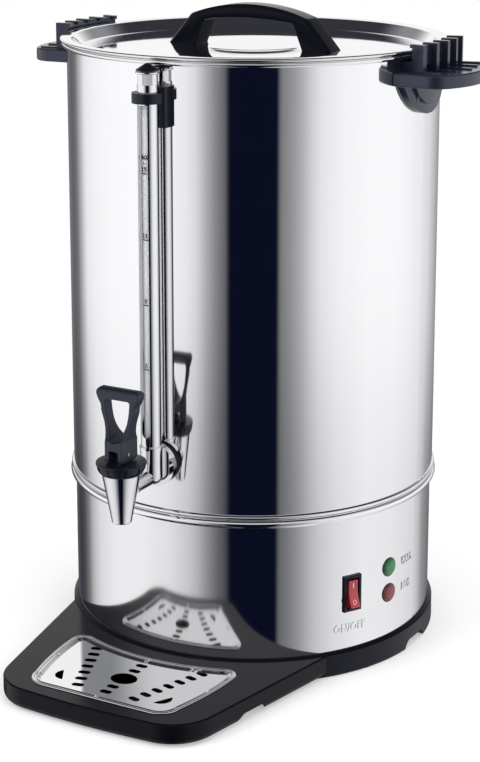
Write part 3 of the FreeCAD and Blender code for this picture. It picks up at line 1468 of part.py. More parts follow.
save("lamp_lens_red", lamp_lens(lamp_z[1]))
save("lamp_holders", lamp_holders())
save("power_inlet", power_inlet())
save("inlet_contacts", inlet_contacts())
save("inlet_screws", inlet_screws())
save("boil_element", boil_element())
save("element_clamp", element_clamp())
save("heater_stud", heater_stud())
save("heater_nut", heater_nut())
save("warm_element", warm_element())
save("thermostat", sensor(120.0))
save("thermal_cutout", sensor(-120.0))
save("terminal_block", terminal_block())
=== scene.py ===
"""The looks of a coffee urn: finishes, fine shapes, lettering and a pale studio.

Lengths are in millimetres until a mesh is made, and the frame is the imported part's own:
+Z up, the tap towards -Y, the floor at z = 0. An angle round the body starts at the tap
and grows towards +X.
"""
import logging
import math
from dataclasses import dataclass
from enum import Enum
from typing import Sequence

import bmesh
import bpy
import numpy as np
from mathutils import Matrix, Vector

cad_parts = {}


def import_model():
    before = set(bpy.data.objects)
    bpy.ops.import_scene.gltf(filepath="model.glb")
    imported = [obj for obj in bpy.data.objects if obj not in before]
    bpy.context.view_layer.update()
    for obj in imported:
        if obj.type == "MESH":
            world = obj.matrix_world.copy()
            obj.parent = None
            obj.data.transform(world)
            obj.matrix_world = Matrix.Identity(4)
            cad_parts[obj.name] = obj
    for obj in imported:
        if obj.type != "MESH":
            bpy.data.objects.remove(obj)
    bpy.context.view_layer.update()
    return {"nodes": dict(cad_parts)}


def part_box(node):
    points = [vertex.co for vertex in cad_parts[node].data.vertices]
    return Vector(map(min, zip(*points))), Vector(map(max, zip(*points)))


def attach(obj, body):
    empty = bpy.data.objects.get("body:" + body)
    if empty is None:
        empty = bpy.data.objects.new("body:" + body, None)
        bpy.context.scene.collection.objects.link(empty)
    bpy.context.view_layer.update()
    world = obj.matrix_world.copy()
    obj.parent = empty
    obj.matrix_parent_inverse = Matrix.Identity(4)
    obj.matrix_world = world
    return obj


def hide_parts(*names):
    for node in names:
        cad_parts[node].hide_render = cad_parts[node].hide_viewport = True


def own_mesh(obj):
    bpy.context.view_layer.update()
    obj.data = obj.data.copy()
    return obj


log = logging.getLogger("urn")
MM = 0.001
RIM_SHARE = "rim_share"


# Places read from the frame
@dataclass(frozen=True)
class Extent:
    """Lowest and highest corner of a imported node, in millimetres."""

    low: np.ndarray
    high: np.ndarray

    @classmethod
    def of(cls, node: str) -> "Extent":
        """Read the box of one node."""
        low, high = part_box(node)
        return cls(np.array(low) / MM, np.array(high) / MM)

    @property
    def middle(self) -> np.ndarray:
        """Centre of the box."""
        return (self.low + self.high) / 2

    @property
    def size(self) -> np.ndarray:
        """Side lengths of the box."""
        return self.high - self.low


# Outlines and surfaces worked out on a grid
def turn_between(start: np.ndarray, end: np.ndarray) -> float:
    """Return the signed angle from one direction to another."""
    return math.atan2(start[0] * end[1] - start[1] * end[0], start @ end)


def arc_points(centre: np.ndarray, radius: float, start: np.ndarray, turn: float, count: int) -> np.ndarray:
    """Return points on a circle, at even steps of a turn that begins in a start direction."""
    angles = math.atan2(start[1], start[0]) + turn * np.linspace(0.0, 1.0, count)
    return centre + radius * np.stack([np.cos(angles), np.sin(angles)], axis=1)


def rounded(corners: Sequence[tuple], steps: int, closed: bool = False) -> np.ndarray:
    """Round the corners of an outline.

    At a corner with radius r, whose sides stand at twice the angle h, the arc starts r / tan(h)
    from the corner, and its centre lies r / sin(h) along the line midway between the sides.

    Args:
        corners: Points as (across, up) or (across, up, radius).
        steps: Points on each arc.
        closed: Whether the last point runs back to the first.

    Returns:
        The outline's points, one row each.
    """
    points = [np.array(corner[:2], dtype=float) for corner in corners]
    path = []
    for index, corner in enumerate(corners):
        point = points[index]
        if len(corner) == 2 or (not closed and index in (0, len(points) - 1)):
            path.append(point[None])
            continue
        before = points[index - 1] - point
        after = points[(index + 1) % len(points)] - point
        before, after = before / np.linalg.norm(before), after / np.linalg.norm(after)
        half = math.acos(np.clip(before @ after, -1.0, 1.0)) / 2
        middle = (before + after) / np.linalg.norm(before + after)
        radius = corner[2]
        centre = point + middle * radius / math.sin(half)
        start = point + before * radius / math.tan(half) - centre
        end = point + after * radius / math.tan(half) - centre
        path.append(arc_points(centre, radius, start, turn_between(start, end), steps))
    return np.concatenate(path)


def arc_through(start: Sequence[float], middle: Sequence[float], end: Sequence[float],
                count: int) -> np.ndarray:
    """Return points on the circle's arc from a start through a middle point to an end.

    The centre is as far from all three: twice its product with (middle - start) is the
    difference of their squares, and the same for the end.
    """
    a, b, c = (np.array(point, dtype=float) for point in (start, middle, end))
    centre = np.linalg.solve(2 * np.array([b - a, c - a]), [b @ b - a @ a, c @ c - a @ a])
    a, b, c = a - centre, b - centre, c - centre
    return arc_points(centre, np.linalg.norm(a), a, turn_between(a, b) + turn_between(b, c), count)


def thickened(path: np.ndarray, thick: float) -> np.ndarray:
    """Give a middle line a thickness: each point moves half of it along the normal, to both sides.

    Args:
        path: The middle line's points.
        thick: The sheet's thickness.

    Returns:
        One closed outline, out along one face and back along the other.
    """
    along = np.gradient(path, axis=0)
    normal = np.stack([-along[:, 1], along[:, 0]], axis=1) / np.linalg.norm(along, axis=1)[:, None]
    return np.concatenate([path + normal * thick / 2, (path - normal * thick / 2)[::-1]])


def spun(profile: np.ndarray, turns: int) -> np.ndarray:
    """Spin an outline of radius and height about the upright axis.

    The point of profile step i at turn a is (r_i sin a, -r_i cos a, z_i).
    """
    angle = np.linspace(0.0, 2 * np.pi, turns, endpoint=False)
    radius, height = np.maximum(profile[:, :1], 0.0), profile[:, 1:]
    return np.stack([radius * np.sin(angle), -radius * np.cos(angle), height + 0 * angle], axis=-1)


# Meshes
def linked(name: str, data: bpy.types.ID) -> bpy.types.Object:
    """Make an object of a mesh, a lamp or other data, and put it into the scene."""
    piece = bpy.data.objects.new(name, data)
    bpy.context.scene.collection.objects.link(piece)
    return piece


def mesh_points(mesh: bpy.types.Mesh) -> np.ndarray:
    """Return the points of a mesh, one row each."""
    points = np.empty(len(mesh.vertices) * 3)
    mesh.vertices.foreach_get("co", points)
    return points.reshape(-1, 3)


def close_up(mesh: bpy.types.Mesh, sharp_angle: float, flat_angle: float = 0.0) -> None:
    """Merge doubled points, turn faces outwards and smooth all but the sharp edges.

    Args:
        mesh: The mesh to finish.
        sharp_angle: Edges that bend more than this many degrees stay sharp.
        flat_angle: Faces that bend less than this many degrees are joined; 0 joins none.
    """
    work = bmesh.new()
    work.from_mesh(mesh)
    bmesh.ops.remove_doubles(work, verts=work.verts, dist=0.004 * MM)
    if flat_angle:
        bmesh.ops.dissolve_limit(work, angle_limit=math.radians(flat_angle), verts=work.verts,
                                 edges=work.edges)
    bmesh.ops.recalc_face_normals(work, faces=work.faces)
    work.to_mesh(mesh)
    work.free()
    mesh.shade_smooth()
    mesh.set_sharp_from_angle(angle=math.radians(sharp_angle))


def skin(name: str, points: np.ndarray, close_rows: bool = False, caps: bool = False,
         sharp_angle: float = 40.0) -> bpy.types.Object:
    """Make a piece from a grid of points whose last column joins its first.

    Each face joins a point, its two neighbours and the one across.

    Args:
        name: Name of the piece.
        points: Rows and columns of points in millimetres.
        close_rows: Whether the last row joins the first.
        caps: Whether the first and the last row are closed by a face.
        sharp_angle: Edges that bend more than this many degrees stay sharp.

    Returns:
        The piece.
    """
    rows, columns = points.shape[:2]
    i, j = np.meshgrid(np.arange(rows if close_rows else rows - 1), np.arange(columns), indexing="ij")
    next_i, next_j = (i + 1) % rows, (j + 1) % columns
    cells = np.stack([i * columns + j, i * columns + next_j, next_i * columns + next_j,
                      next_i * columns + j], axis=-1)
    faces = cells.reshape(-1, 4).tolist()
    if caps:
        first = np.arange(columns)
        faces += [first[::-1].tolist(), (first + (rows - 1) * columns).tolist()]
    mesh = bpy.data.meshes.new(name)
    mesh.from_pydata((points.reshape(-1, 3) * MM).tolist(), [], faces)
    piece = linked(name, mesh)
    close_up(mesh, sharp_angle)
    return piece


def merged_copy(node: bpy.types.Object, name: str, sharp_angle: float = 35.0,
                flat_angle: float = 1.0) -> bpy.types.Object:
    """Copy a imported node's mesh, with its doubled points merged and its flat faces joined."""
    mesh = node.data.copy()
    mesh.name = name
    if "custom_normal" in mesh.attributes:
        mesh.attributes.remove(mesh.attributes["custom_normal"])
    piece = linked(name, mesh)
    close_up(mesh, sharp_angle, flat_angle)
    return piece


def soften(piece: bpy.types.Object, width: float, angle: float = 28.0, segments: int = 3) -> None:
    """Round the sharp edges of a piece by a width in millimetres."""
    bevel = piece.modifiers.new("soft_edges", "BEVEL")
    bevel.width = width * MM
    bevel.segments = segments
    bevel.limit_method = "ANGLE"
    bevel.angle_limit = math.radians(angle)
    bevel.miter_outer = "MITER_ARC"
    bevel.use_clamp_overlap = True
    piece.data.shade_smooth()
    even = piece.modifiers.new("even_normals", "WEIGHTED_NORMAL")
    even.weight = 80
    even.keep_sharp = True


def melt(piece: bpy.types.Object, voxel: float, passes: int) -> None:
    """Round a moulding all over: an even mesh, then each point moves towards its neighbours."""
    even = piece.modifiers.new("even_mesh", "REMESH")
    even.mode = "VOXEL"
    even.voxel_size = voxel * MM
    even.use_smooth_shade = True
    smooth = piece.modifiers.new("soft_shape", "SMOOTH")
    smooth.factor = 0.5
    smooth.iterations = passes


@dataclass(frozen=True)
class Lettering:
    """How letters stand off their surface, and how they are spaced.

    Thick is the height of their faces, bevel the width of their edges, gap their spacing, and
    bold how far a stroke is fattened where a letter is drawn_high high.
    """

    thick: float
    bevel: float = 0.0
    gap: float = 1.0
    bold: float = 0.0
    drawn_high: float = 10.0
    sharp_angle: float = 30.0

    def flat(self, text: str, size: Sequence[float]) -> tuple:
        """Set words as a flat solid round the origin, letters upright along y and facing z.

        Args:
            text: The words.
            size: Width and height of the whole, in millimetres.

        Returns:
            The mesh, and its points in millimetres.
        """
        curve = bpy.data.curves.new(text, "FONT")
        curve.body = text
        curve.size = self.drawn_high
        curve.align_x = "CENTER"
        curve.align_y = "CENTER"
        curve.space_character = self.gap
        curve.offset = self.bold
        curve.resolution_u = 6
        holder = linked(text, curve)
        bpy.context.view_layer.update()
        wide, high = holder.dimensions[0], holder.dimensions[1]
        scale = size[1] / high
        curve.extrude = self.thick / scale / 2
        curve.bevel_depth = self.bevel / scale
        curve.bevel_resolution = 1
        bpy.context.view_layer.update()
        mesh = bpy.data.meshes.new_from_object(holder)
        bpy.data.objects.remove(holder)
        bpy.data.curves.remove(curve)
        points = mesh_points(mesh)
        middle = (points.min(axis=0) + points.max(axis=0)) / 2
        return mesh, (points - middle) * np.array([size[0] / wide, scale, scale])

    def piece(self, name: str, mesh: bpy.types.Mesh, points: np.ndarray) -> bpy.types.Object:
        """Make a piece of the words' mesh, with its points moved to new places in millimetres."""
        mesh.vertices.foreach_set("co", (points * MM).ravel())
        piece = linked(name, mesh)
        close_up(mesh, self.sharp_angle)
        return piece

    def wrapped(self, name: str, text: str, size: Sequence[float], radius: float, angle: float, z: float,
                axis: Sequence[float] = (0.0, 0.0)) -> bpy.types.Object:
        """Bend words round an upright cylinder.

        A letter point (x, y, out) goes to the turn angle + x / radius, at radius + out from the axis.

        Args:
            name: Name of the piece.
            text: The words.
            size: Width and height, in millimetres.
            radius: Radius of the surface that carries them.
            angle: Their place round the axis, in degrees from the tap's direction.
            z: Height of their middle.
            axis: Place of the cylinder's axis.

        Returns:
            The piece.
        """
        mesh, points = self.flat(text, size)
        turn = math.radians(angle) + points[:, 0] / radius
        out = radius + points[:, 2]
        bent = np.stack([axis[0] + out * np.sin(turn), axis[1] - out * np.cos(turn), z + points[:, 1]],
                        axis=1)
        return self.piece(name, mesh, bent)


# Finishes
class NodeSheet:
    """Short way to write a material's nodes and links."""

    def __init__(self, tree: bpy.types.NodeTree) -> None:
        """Clear a node tree for a new material or world."""
        self.tree = tree
        tree.nodes.clear()

    def add(self, kind: str, **settings: object) -> bpy.types.Node:
        """Add a node and set its properties."""
        node = self.tree.nodes.new(kind)
        for name, value in settings.items():
            setattr(node, name, value)
        return node

    def link(self, source: object, target: object) -> None:
        """Join an output socket to an input socket."""
        self.tree.links.new(source, target)

    def feed(self, target: bpy.types.NodeSocket, value: object) -> None:
        """Give an input socket a number, a colour or the output of another node."""
        if isinstance(value, bpy.types.NodeSocket):
            self.link(value, target)
        elif isinstance(value, tuple):
            target.default_value = (*value, 1.0)
        else:
            target.default_value = value

    def value(self, kind: str, output: object, feeds: dict, **settings: object) -> bpy.types.NodeSocket:
        """Add a node and return one of its outputs.

        Args:
            kind: Type of the node.
            output: Name or place of the output.
            feeds: What each input gets, by its name or place.
            **settings: Properties of the node.

        Returns:
            The output socket.
        """
        node = self.add(kind, **settings)
        for name, part in feeds.items():
            self.feed(node.inputs[name], part)
        return node.outputs[output]

    def math(self, operation: str, *values: object) -> bpy.types.NodeSocket:
        """Work out a number from others; each is a number or a socket."""
        return self.value("ShaderNodeMath", 0, dict(enumerate(values)), operation=operation)

    def span(self, value: object, low: float, high: float, start: float = 0.0,
             end: float = 1.0) -> bpy.types.NodeSocket:
        """Carry a value from one range to another, held at the ends."""
        feeds = {"Value": value, "From Min": low, "From Max": high, "To Min": start, "To Max": end}
        return self.value("ShaderNodeMapRange", "Result", feeds, interpolation_type="SMOOTHSTEP")

    def place(self, scale: Sequence[float] = (1.0, 1.0, 1.0)) -> bpy.types.NodeSocket:
        """Return object coordinates, scaled."""
        mapping = self.add("ShaderNodeMapping")
        mapping.inputs["Scale"].default_value = scale
        self.link(self.add("ShaderNodeTexCoord").outputs["Object"], mapping.inputs["Vector"])
        return mapping.outputs["Vector"]

    def noise(self, where: object, scale: float, detail: float = 3.0,
              rough: float = 0.5) -> bpy.types.NodeSocket:
        """Return a noise value at a place."""
        feeds = {"Vector": where, "Scale": scale, "Detail": detail, "Roughness": rough}
        return self.value("ShaderNodeTexNoise", "Fac", feeds)

    def blend(self, share: object, low: object, high: object) -> bpy.types.NodeSocket:
        """Mix two colours, or sockets that give one, by a share."""
        feeds = {"Factor": share, "A": low, "B": high}
        return self.value("ShaderNodeMix", "Result", feeds, data_type="RGBA")

    def bump(self, height: object, depth: float) -> bpy.types.NodeSocket:
        """Return a normal raised by a height, with its depth in millimetres."""
        feeds = {"Strength": 1.0, "Distance": depth * MM, "Height": height}
        return self.value("ShaderNodeBump", "Normal", feeds)

    def shader(self, **sockets: object) -> None:
        """Add the surface shader and its output; underscores stand for spaces in socket names."""
        feeds = {name.replace("_", " "): value for name, value in sockets.items()}
        surface = self.value("ShaderNodeBsdfPrincipled", "BSDF", feeds)
        self.link(surface, self.add("ShaderNodeOutputMaterial").inputs["Surface"])


def scaled(colour: tuple, share: float) -> tuple:
    """Return a colour made darker or brighter by a share."""
    return tuple(part * share for part in colour)


@dataclass(frozen=True)
class Finish:
    """A named finish; each kind of surface writes its own nodes."""

    name: str

    def write(self, sheet: NodeSheet) -> None:
        """Write the nodes of the finish."""
        raise NotImplementedError

    def material(self) -> bpy.types.Material:
        """Return the material, made once."""
        name = "urn_" + self.name
        found = bpy.data.materials.get(name)
        if found is None:
            found = bpy.data.materials.new(name)
            found.use_nodes = True
            self.write(NodeSheet(found.node_tree))
        return found


@dataclass(frozen=True)
class RolledSteel(Finish):
    """Stainless sheet polished round the body: near a mirror, with fine rings of brush marks."""

    colour: tuple = (0.90, 0.90, 0.905)
    dim: float = 0.985
    roughness: float = 0.06
    brush: float = 0.03
    brush_depth: float = 0.0005
    lines_per_mm: float = 2.2
    ring_squeeze: float = 160.0
    band_squeeze: float = 14.0
    band_share: float = 0.6
    spread: float = 0.75
    across_the_brush: float = 0.25

    def write(self, sheet: NodeSheet) -> None:
        """Brush marks are noise drawn out round the body and close together along it."""
        along = sheet.place((1.0, 1.0, self.ring_squeeze))
        fine = sheet.noise(along, scale=6.0 * self.lines_per_mm, detail=4.0, rough=0.65)
        wide = sheet.noise(sheet.place((1.0, 1.0, self.band_squeeze)), scale=7.0, detail=2.0)
        marks = sheet.math("MULTIPLY_ADD", fine, self.brush, self.roughness - self.brush / 2)
        marks = sheet.math("MULTIPLY_ADD", wide, self.brush * self.band_share, marks)
        tangent = sheet.add("ShaderNodeTangent", direction_type="RADIAL", axis="Z").outputs["Tangent"]
        sheet.shader(Base_Color=sheet.blend(wide, scaled(self.colour, self.dim), self.colour), Metallic=1.0,
                     Roughness=marks, Anisotropic=self.spread, Anisotropic_Rotation=self.across_the_brush,
                     Normal=sheet.bump(fine, self.brush_depth), Tangent=tangent)


@dataclass(frozen=True)
class PressedSteel(Finish):
    """Bright pressed sheet, with a faint cloudy polish."""

    colour: tuple = (0.80, 0.80, 0.805)
    dim: float = 0.97
    roughness: float = 0.07
    cloud: float = 0.03
    wave_depth: float = 0.004

    def write(self, sheet: NodeSheet) -> None:
        """Cloudy noise changes the gloss, and a wide one bends the reflections a little."""
        cloud = sheet.noise(sheet.place(), scale=90.0, detail=4.0)
        wave = sheet.noise(sheet.place(), scale=18.0, detail=1.0)
        gloss = sheet.math("MULTIPLY_ADD", cloud, self.cloud, self.roughness - self.cloud / 2)
        sheet.shader(Base_Color=sheet.blend(cloud, scaled(self.colour, self.dim), self.colour), Metallic=1.0,
                     Roughness=gloss, Normal=sheet.bump(wave, self.wave_depth))


@dataclass(frozen=True)
class MouldedPlastic(Finish):
    """Moulded plastic with a fine grain, a soft gloss and a little uneven sheen."""

    colour: tuple = (0.0032, 0.0036, 0.0060)
    lift: float = 1.25
    roughness: float = 0.26
    sheen: float = 0.10
    grain_mm: float = 0.5
    grain_depth: float = 0.004
    level: float = 0.5
    gleam: tuple = (0.72, 0.78, 1.0)

    def write(self, sheet: NodeSheet) -> None:
        """Fine noise is the grain, and wide noise changes the gloss."""
        grain = sheet.noise(sheet.place(), scale=1.0 / (self.grain_mm * MM), detail=2.0, rough=0.6)
        handled = sheet.noise(sheet.place(), scale=26.0)
        gloss = sheet.math("MULTIPLY_ADD", handled, self.sheen, self.roughness - self.sheen / 2)
        sheet.shader(Base_Color=sheet.blend(handled, self.colour, scaled(self.colour, self.lift)),
                     Roughness=gloss, Specular_IOR_Level=self.level, Specular_Tint=self.gleam,
                     Normal=sheet.bump(grain, self.grain_depth))


@dataclass(frozen=True)
class ClearGlass(Finish):
    """Drawn glass tube: mostly clear, with the pale bloom of its wall."""

    veil: float = 0.42
    shade: tuple = (0.86, 0.90, 0.885)
    shine: tuple = (0.95, 0.975, 0.965)
    draw_stretch: float = 0.05

    def write(self, sheet: NodeSheet) -> None:
        """Faint lines run along the draw."""
        lines = sheet.noise(sheet.place((1.0, 1.0, self.draw_stretch)), scale=900.0, detail=1.0)
        sheet.shader(Base_Color=sheet.blend(lines, self.shade, self.shine), Roughness=0.04, IOR=1.47,
                     Alpha=self.veil, Normal=sheet.bump(lines, 0.001))


@dataclass(frozen=True)
class LensPlastic(Finish):
    """Coloured see-through plastic with small facets behind its skin, darker towards the rim."""

    colour: tuple = (0.03, 0.30, 0.13)
    facet_mm: float = 1.1
    facet_dark: float = 0.5
    facet_wide: float = 0.7
    facet_deep: float = 0.10
    gloss: float = 0.22
    level: float = 0.5
    coat: float = 0.3
    rim_start: float = 0.45
    rim_dark: float = 0.12

    def write(self, sheet: NodeSheet) -> None:
        """Voronoi cells stand for the facets, and the mesh's own share of the rim darkens the edge."""
        scale = 1.0 / (self.facet_mm * MM)
        cells = sheet.value("ShaderNodeTexVoronoi", "Distance", {"Scale": scale, "Vector": sheet.place()})
        light = sheet.span(cells, 0.0, self.facet_wide, 1.0, 0.0)
        facets = sheet.blend(light, scaled(self.colour, self.facet_dark), self.colour)
        rim = sheet.add("ShaderNodeAttribute", attribute_name=RIM_SHARE).outputs["Fac"]
        edge = sheet.span(rim, self.rim_start, 1.0)
        sheet.shader(Base_Color=sheet.blend(edge, facets, scaled(self.colour, self.rim_dark)),
                     Roughness=self.gloss, Specular_IOR_Level=self.level, Coat_Weight=self.coat,
                     Coat_Roughness=0.10, Normal=sheet.bump(cells, self.facet_deep))


@dataclass(frozen=True)
class SoftRubber(Finish):
    """Rubber or silicone with a dull skin."""

    colour: tuple = (0.02, 0.02, 0.02)
    lift: float = 1.3
    dullness: float = 0.6
    unevenness: float = 0.15

    def write(self, sheet: NodeSheet) -> None:
        """A fine powdery noise changes the dullness."""
        powder = sheet.noise(sheet.place(), scale=700.0)
        sheet.shader(Base_Color=sheet.blend(powder, self.colour, scaled(self.colour, self.lift)),
                     Roughness=sheet.math("MULTIPLY_ADD", powder, self.unevenness, self.dullness),
                     Normal=sheet.bump(powder, 0.02))


@dataclass(frozen=True)
class Ink(Finish):
    """Flat printing colour."""

    colour: tuple = (0.02, 0.02, 0.025)
    lift: float = 1.2

    def write(self, sheet: NodeSheet) -> None:
        """A little mottled, as screen printing is."""
        mottle = sheet.noise(sheet.place(), scale=1500.0, detail=2.0)
        sheet.shader(Base_Color=sheet.blend(mottle, self.colour, scaled(self.colour, self.lift)),
                     Roughness=0.5)


class Look(Enum):
    """The finishes that the urn uses."""

    WALL = RolledSteel("wall_steel")
    INNER = PressedSteel("inner_steel", colour=(0.62, 0.62, 0.63), roughness=0.22, cloud=0.08)
    CHROME = PressedSteel("chrome", colour=(0.83, 0.83, 0.845), roughness=0.03, cloud=0.015,
                          wave_depth=0.001)
    LID = PressedSteel("lid_steel", colour=(0.90, 0.90, 0.905), roughness=0.045, cloud=0.02,
                       wave_depth=0.001)
    GRID = PressedSteel("grid_steel", colour=(0.88, 0.88, 0.88), roughness=0.05, cloud=0.02,
                        wave_depth=0.001)
    EMBOSSED = PressedSteel("embossed_steel", colour=(0.95, 0.95, 0.955), roughness=0.30)
    BLACK = MouldedPlastic("black_plastic")
    LID_BAR = MouldedPlastic("lid_bar_plastic", level=0.12, roughness=0.20)
    LEVER = MouldedPlastic("lever_plastic", colour=(0.006, 0.0065, 0.011), level=0.75, roughness=0.42)
    BONNET = MouldedPlastic("bonnet_plastic", level=0.40, roughness=0.30)
    CLIP = MouldedPlastic("clip_plastic", level=0.40, roughness=0.30)
    HANDLE = MouldedPlastic("handle_plastic", colour=(0.011, 0.012, 0.020), level=0.70, roughness=0.20)
    TRAY = MouldedPlastic("tray_plastic", colour=(0.0025, 0.0026, 0.0040), level=0.13, roughness=0.20,
                          gleam=(0.88, 0.92, 1.0))
    RING = MouldedPlastic("ring_plastic", colour=(0.0030, 0.0030, 0.0045), level=0.25, roughness=0.30)
    CASE = MouldedPlastic("case_plastic", level=0.45, roughness=0.30)
    WHITE = MouldedPlastic("white_plastic", colour=(0.70, 0.70, 0.66), roughness=0.35)
    GLASS = ClearGlass("gauge_glass")
    ROCKER = LensPlastic("rocker_plastic", colour=(0.35, 0.030, 0.042), facet_mm=40.0, gloss=0.30)
    # Darker, duller copy of the rocker's plastic for its drafted sides: painted shade.
    ROCKER_SIDE = LensPlastic("rocker_painted_shade_plastic", colour=(0.09, 0.0008, 0.003), facet_mm=40.0,
                              gloss=0.30, level=0.15, coat=0.0)
    GREEN = LensPlastic("green_lens", colour=(0.016, 0.23, 0.075), facet_deep=0.30)
    RED = LensPlastic("red_lens", colour=(0.27, 0.030, 0.038), facet_deep=0.30)
    SILICONE = SoftRubber("silicone", colour=(0.55, 0.55, 0.52))
    RUBBER = SoftRubber("rubber", colour=(0.004, 0.004, 0.0045))
    BRASS = PressedSteel("brass", colour=(0.72, 0.55, 0.26), roughness=0.2)
    ZINC = PressedSteel("zinc", colour=(0.55, 0.56, 0.57), roughness=0.3, cloud=0.1)
    CAST = PressedSteel("cast_aluminium", colour=(0.55, 0.55, 0.55), roughness=0.45, cloud=0.1,
                        wave_depth=0.03)
    INK = Ink("scale_ink", colour=(0.002, 0.002, 0.003))
    MARK = Ink("switch_mark", colour=(0.60, 0.36, 0.36))

    def dress(self, piece: bpy.types.Object) -> None:
        """Put the finish on a piece."""
        piece.data.materials.clear()
        piece.data.materials.append(self.value.material())


def settle(piece: bpy.types.Object, look: Look, body: str, slot: str, *nodes: str) -> None:
    """Dress a piece, tie it to its body, and hide the nodes it stands for."""
    look.dress(piece)
    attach(piece, body)
    if nodes:
        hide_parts(*nodes)


NODE_LOOKS = {
    Look.WALL: ("tank_shell", "lower_housing"),
    Look.INNER: ("tank_bottom", "bottom_plate", "inner_washer", "lock_nut", "gauge_bracket_screw",
                 "tap_stem", "tap_spring", "lever_pin", "handle_screws", "backing_plates", "lid_screws",
                 "riser_tube", "pump_bell", "basket", "spreader", "heater_stud"),
    Look.CHROME: ("outlet_tee", "gauge_guard", "gauge_cap", "tap_body"),
    Look.BLACK: ("gauge_cap_tip",),
    Look.LID: ("lid_pan",),
    Look.GRID: ("drip_grid",),
    Look.LID_BAR: ("lid_handle",),
    Look.LEVER: ("tap_lever",),
    Look.BONNET: ("tap_bonnet",),
    Look.CLIP: ("gauge_bracket",),
    Look.HANDLE: ("side_handle_left", "side_handle_right"),
    Look.TRAY: ("drip_tray",),
    Look.RING: ("base_ring",),
    Look.CASE: ("switch_case", "lamp_holders", "power_inlet"),
    Look.WHITE: ("thermostat", "thermal_cutout", "terminal_block"),
    Look.GLASS: ("gauge_glass",),
    Look.ROCKER: ("rocker",),
    Look.GREEN: ("lamp_lens_green",),
    Look.RED: ("lamp_lens_red",),
    Look.SILICONE: ("seat_cup",),
    Look.RUBBER: ("feet", "tray_pads", "wall_gasket", "gauge_seals"),
    Look.BRASS: ("inlet_contacts",),
    Look.ZINC: ("bottom_screws", "tie_studs", "tie_nuts", "inlet_screws", "element_clamp", "heater_nut"),
    Look.CAST: ("boil_element", "warm_element"),
}


def dress_nodes(nodes: dict) -> None:
    """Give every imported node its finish.

    Args:
        nodes: The frame's nodes by name.
    """
    for look, names in NODE_LOOKS.items():
        for name in names:
            look.dress(nodes[name])
    log.info("%d packed nodes dressed", sum(len(names) for names in NODE_LOOKS.values()))


# Sub-assemblies
@dataclass
class Walls:
    """The steel body: ribs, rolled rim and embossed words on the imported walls.

    The upper rib is given by how far its foot and its crest stand out from the tank.
    """

    turns: int = 360
    proud: float = 0.04
    sunk: float = 0.6
    roll_r: float = 1.95
    rib_high: float = 3.35
    seam: float = 0.1
    upper_rib: tuple = (0.6, 1.8)
    bead_step: float = 4.0
    tank_step: float = 1.5
    letters: Lettering = Lettering(thick=0.35, bevel=0.25, gap=1.12)
    word_proud: float = 0.05
    on_off_size: tuple = (27.5, 6.0)
    on_off_drop: float = 26.8
    warm_size: tuple = (15.5, 5.6)
    boil_size: tuple = (13.5, 5.6)
    word_turn: float = 9.6

    def ring(self, name: str, outline: np.ndarray) -> None:
        """Spin a closed outline and join it to the walls."""
        piece = skin(name, spun(outline, self.turns), close_rows=True)
        settle(piece, Look.WALL, "root", "polished_steel")

    def rib(self, name: str, face: np.ndarray, inner_r: float) -> None:
        """Spin a rib's face, closed by a straight line inside the wall."""
        back = np.array([[inner_r, face[-1, 1]], [inner_r, face[0, 1]]])
        self.ring(name, np.concatenate([face + (self.proud, 0.0), back]))

    def build(self) -> None:
        """Lay the ribs and the rim over the walls, as arcs through three points of the profile."""
        tank, housing = Extent.of("tank_shell"), Extent.of("lower_housing")
        bead_r, seam_z = housing.high[0], housing.high[2]
        wall_r = bead_r - self.bead_step
        tank_r = wall_r + self.tank_step
        low_z = seam_z - 2 * self.rib_high - self.seam
        foot, crest = self.upper_rib
        lower = arc_through((wall_r, low_z), (bead_r, (low_z + seam_z) / 2), (tank_r, seam_z), 28)
        upper = arc_through((tank_r + foot, seam_z + self.seam / 2),
                            (tank_r + crest, seam_z + self.rib_high / 2),
                            (tank_r, seam_z + self.rib_high), 20)
        self.rib("lower_rib", lower, wall_r - self.sunk)
        self.rib("upper_rib", upper, tank_r - self.sunk)
        turn = np.linspace(0.0, 2 * np.pi, 36, endpoint=False)
        roll = np.stack([np.cos(turn), np.sin(turn)], axis=1) * (self.roll_r + self.proud)
        self.ring("rim_roll", roll + (tank.high[0] - self.roll_r, tank.high[2] - self.roll_r))
        self.words(wall_r)

    def words(self, wall_r: float) -> None:
        """Emboss the generic words beside the switch and the lamps."""
        switch, green, red = (Extent.of(node).middle for node in ("switch_case", "lamp_lens_green",
                                                                  "lamp_lens_red"))
        switch_angle = math.degrees(math.atan2(switch[0], -switch[1]))
        lamp_angle = math.degrees(math.atan2(green[0], -green[1])) + self.word_turn
        for name, text, size, angle, z in (
                ("word_on_off", "ON/OFF", self.on_off_size, switch_angle, switch[2] - self.on_off_drop),
                ("word_warm", "WARM", self.warm_size, lamp_angle, green[2]),
                ("word_boil", "BOIL", self.boil_size, lamp_angle, red[2])):
            word = self.letters.wrapped(name, text, size, wall_r + self.word_proud, angle, z)
            settle(word, Look.EMBOSSED, "root", "polished_steel")
        log.info("walls: ribs, rim and words")


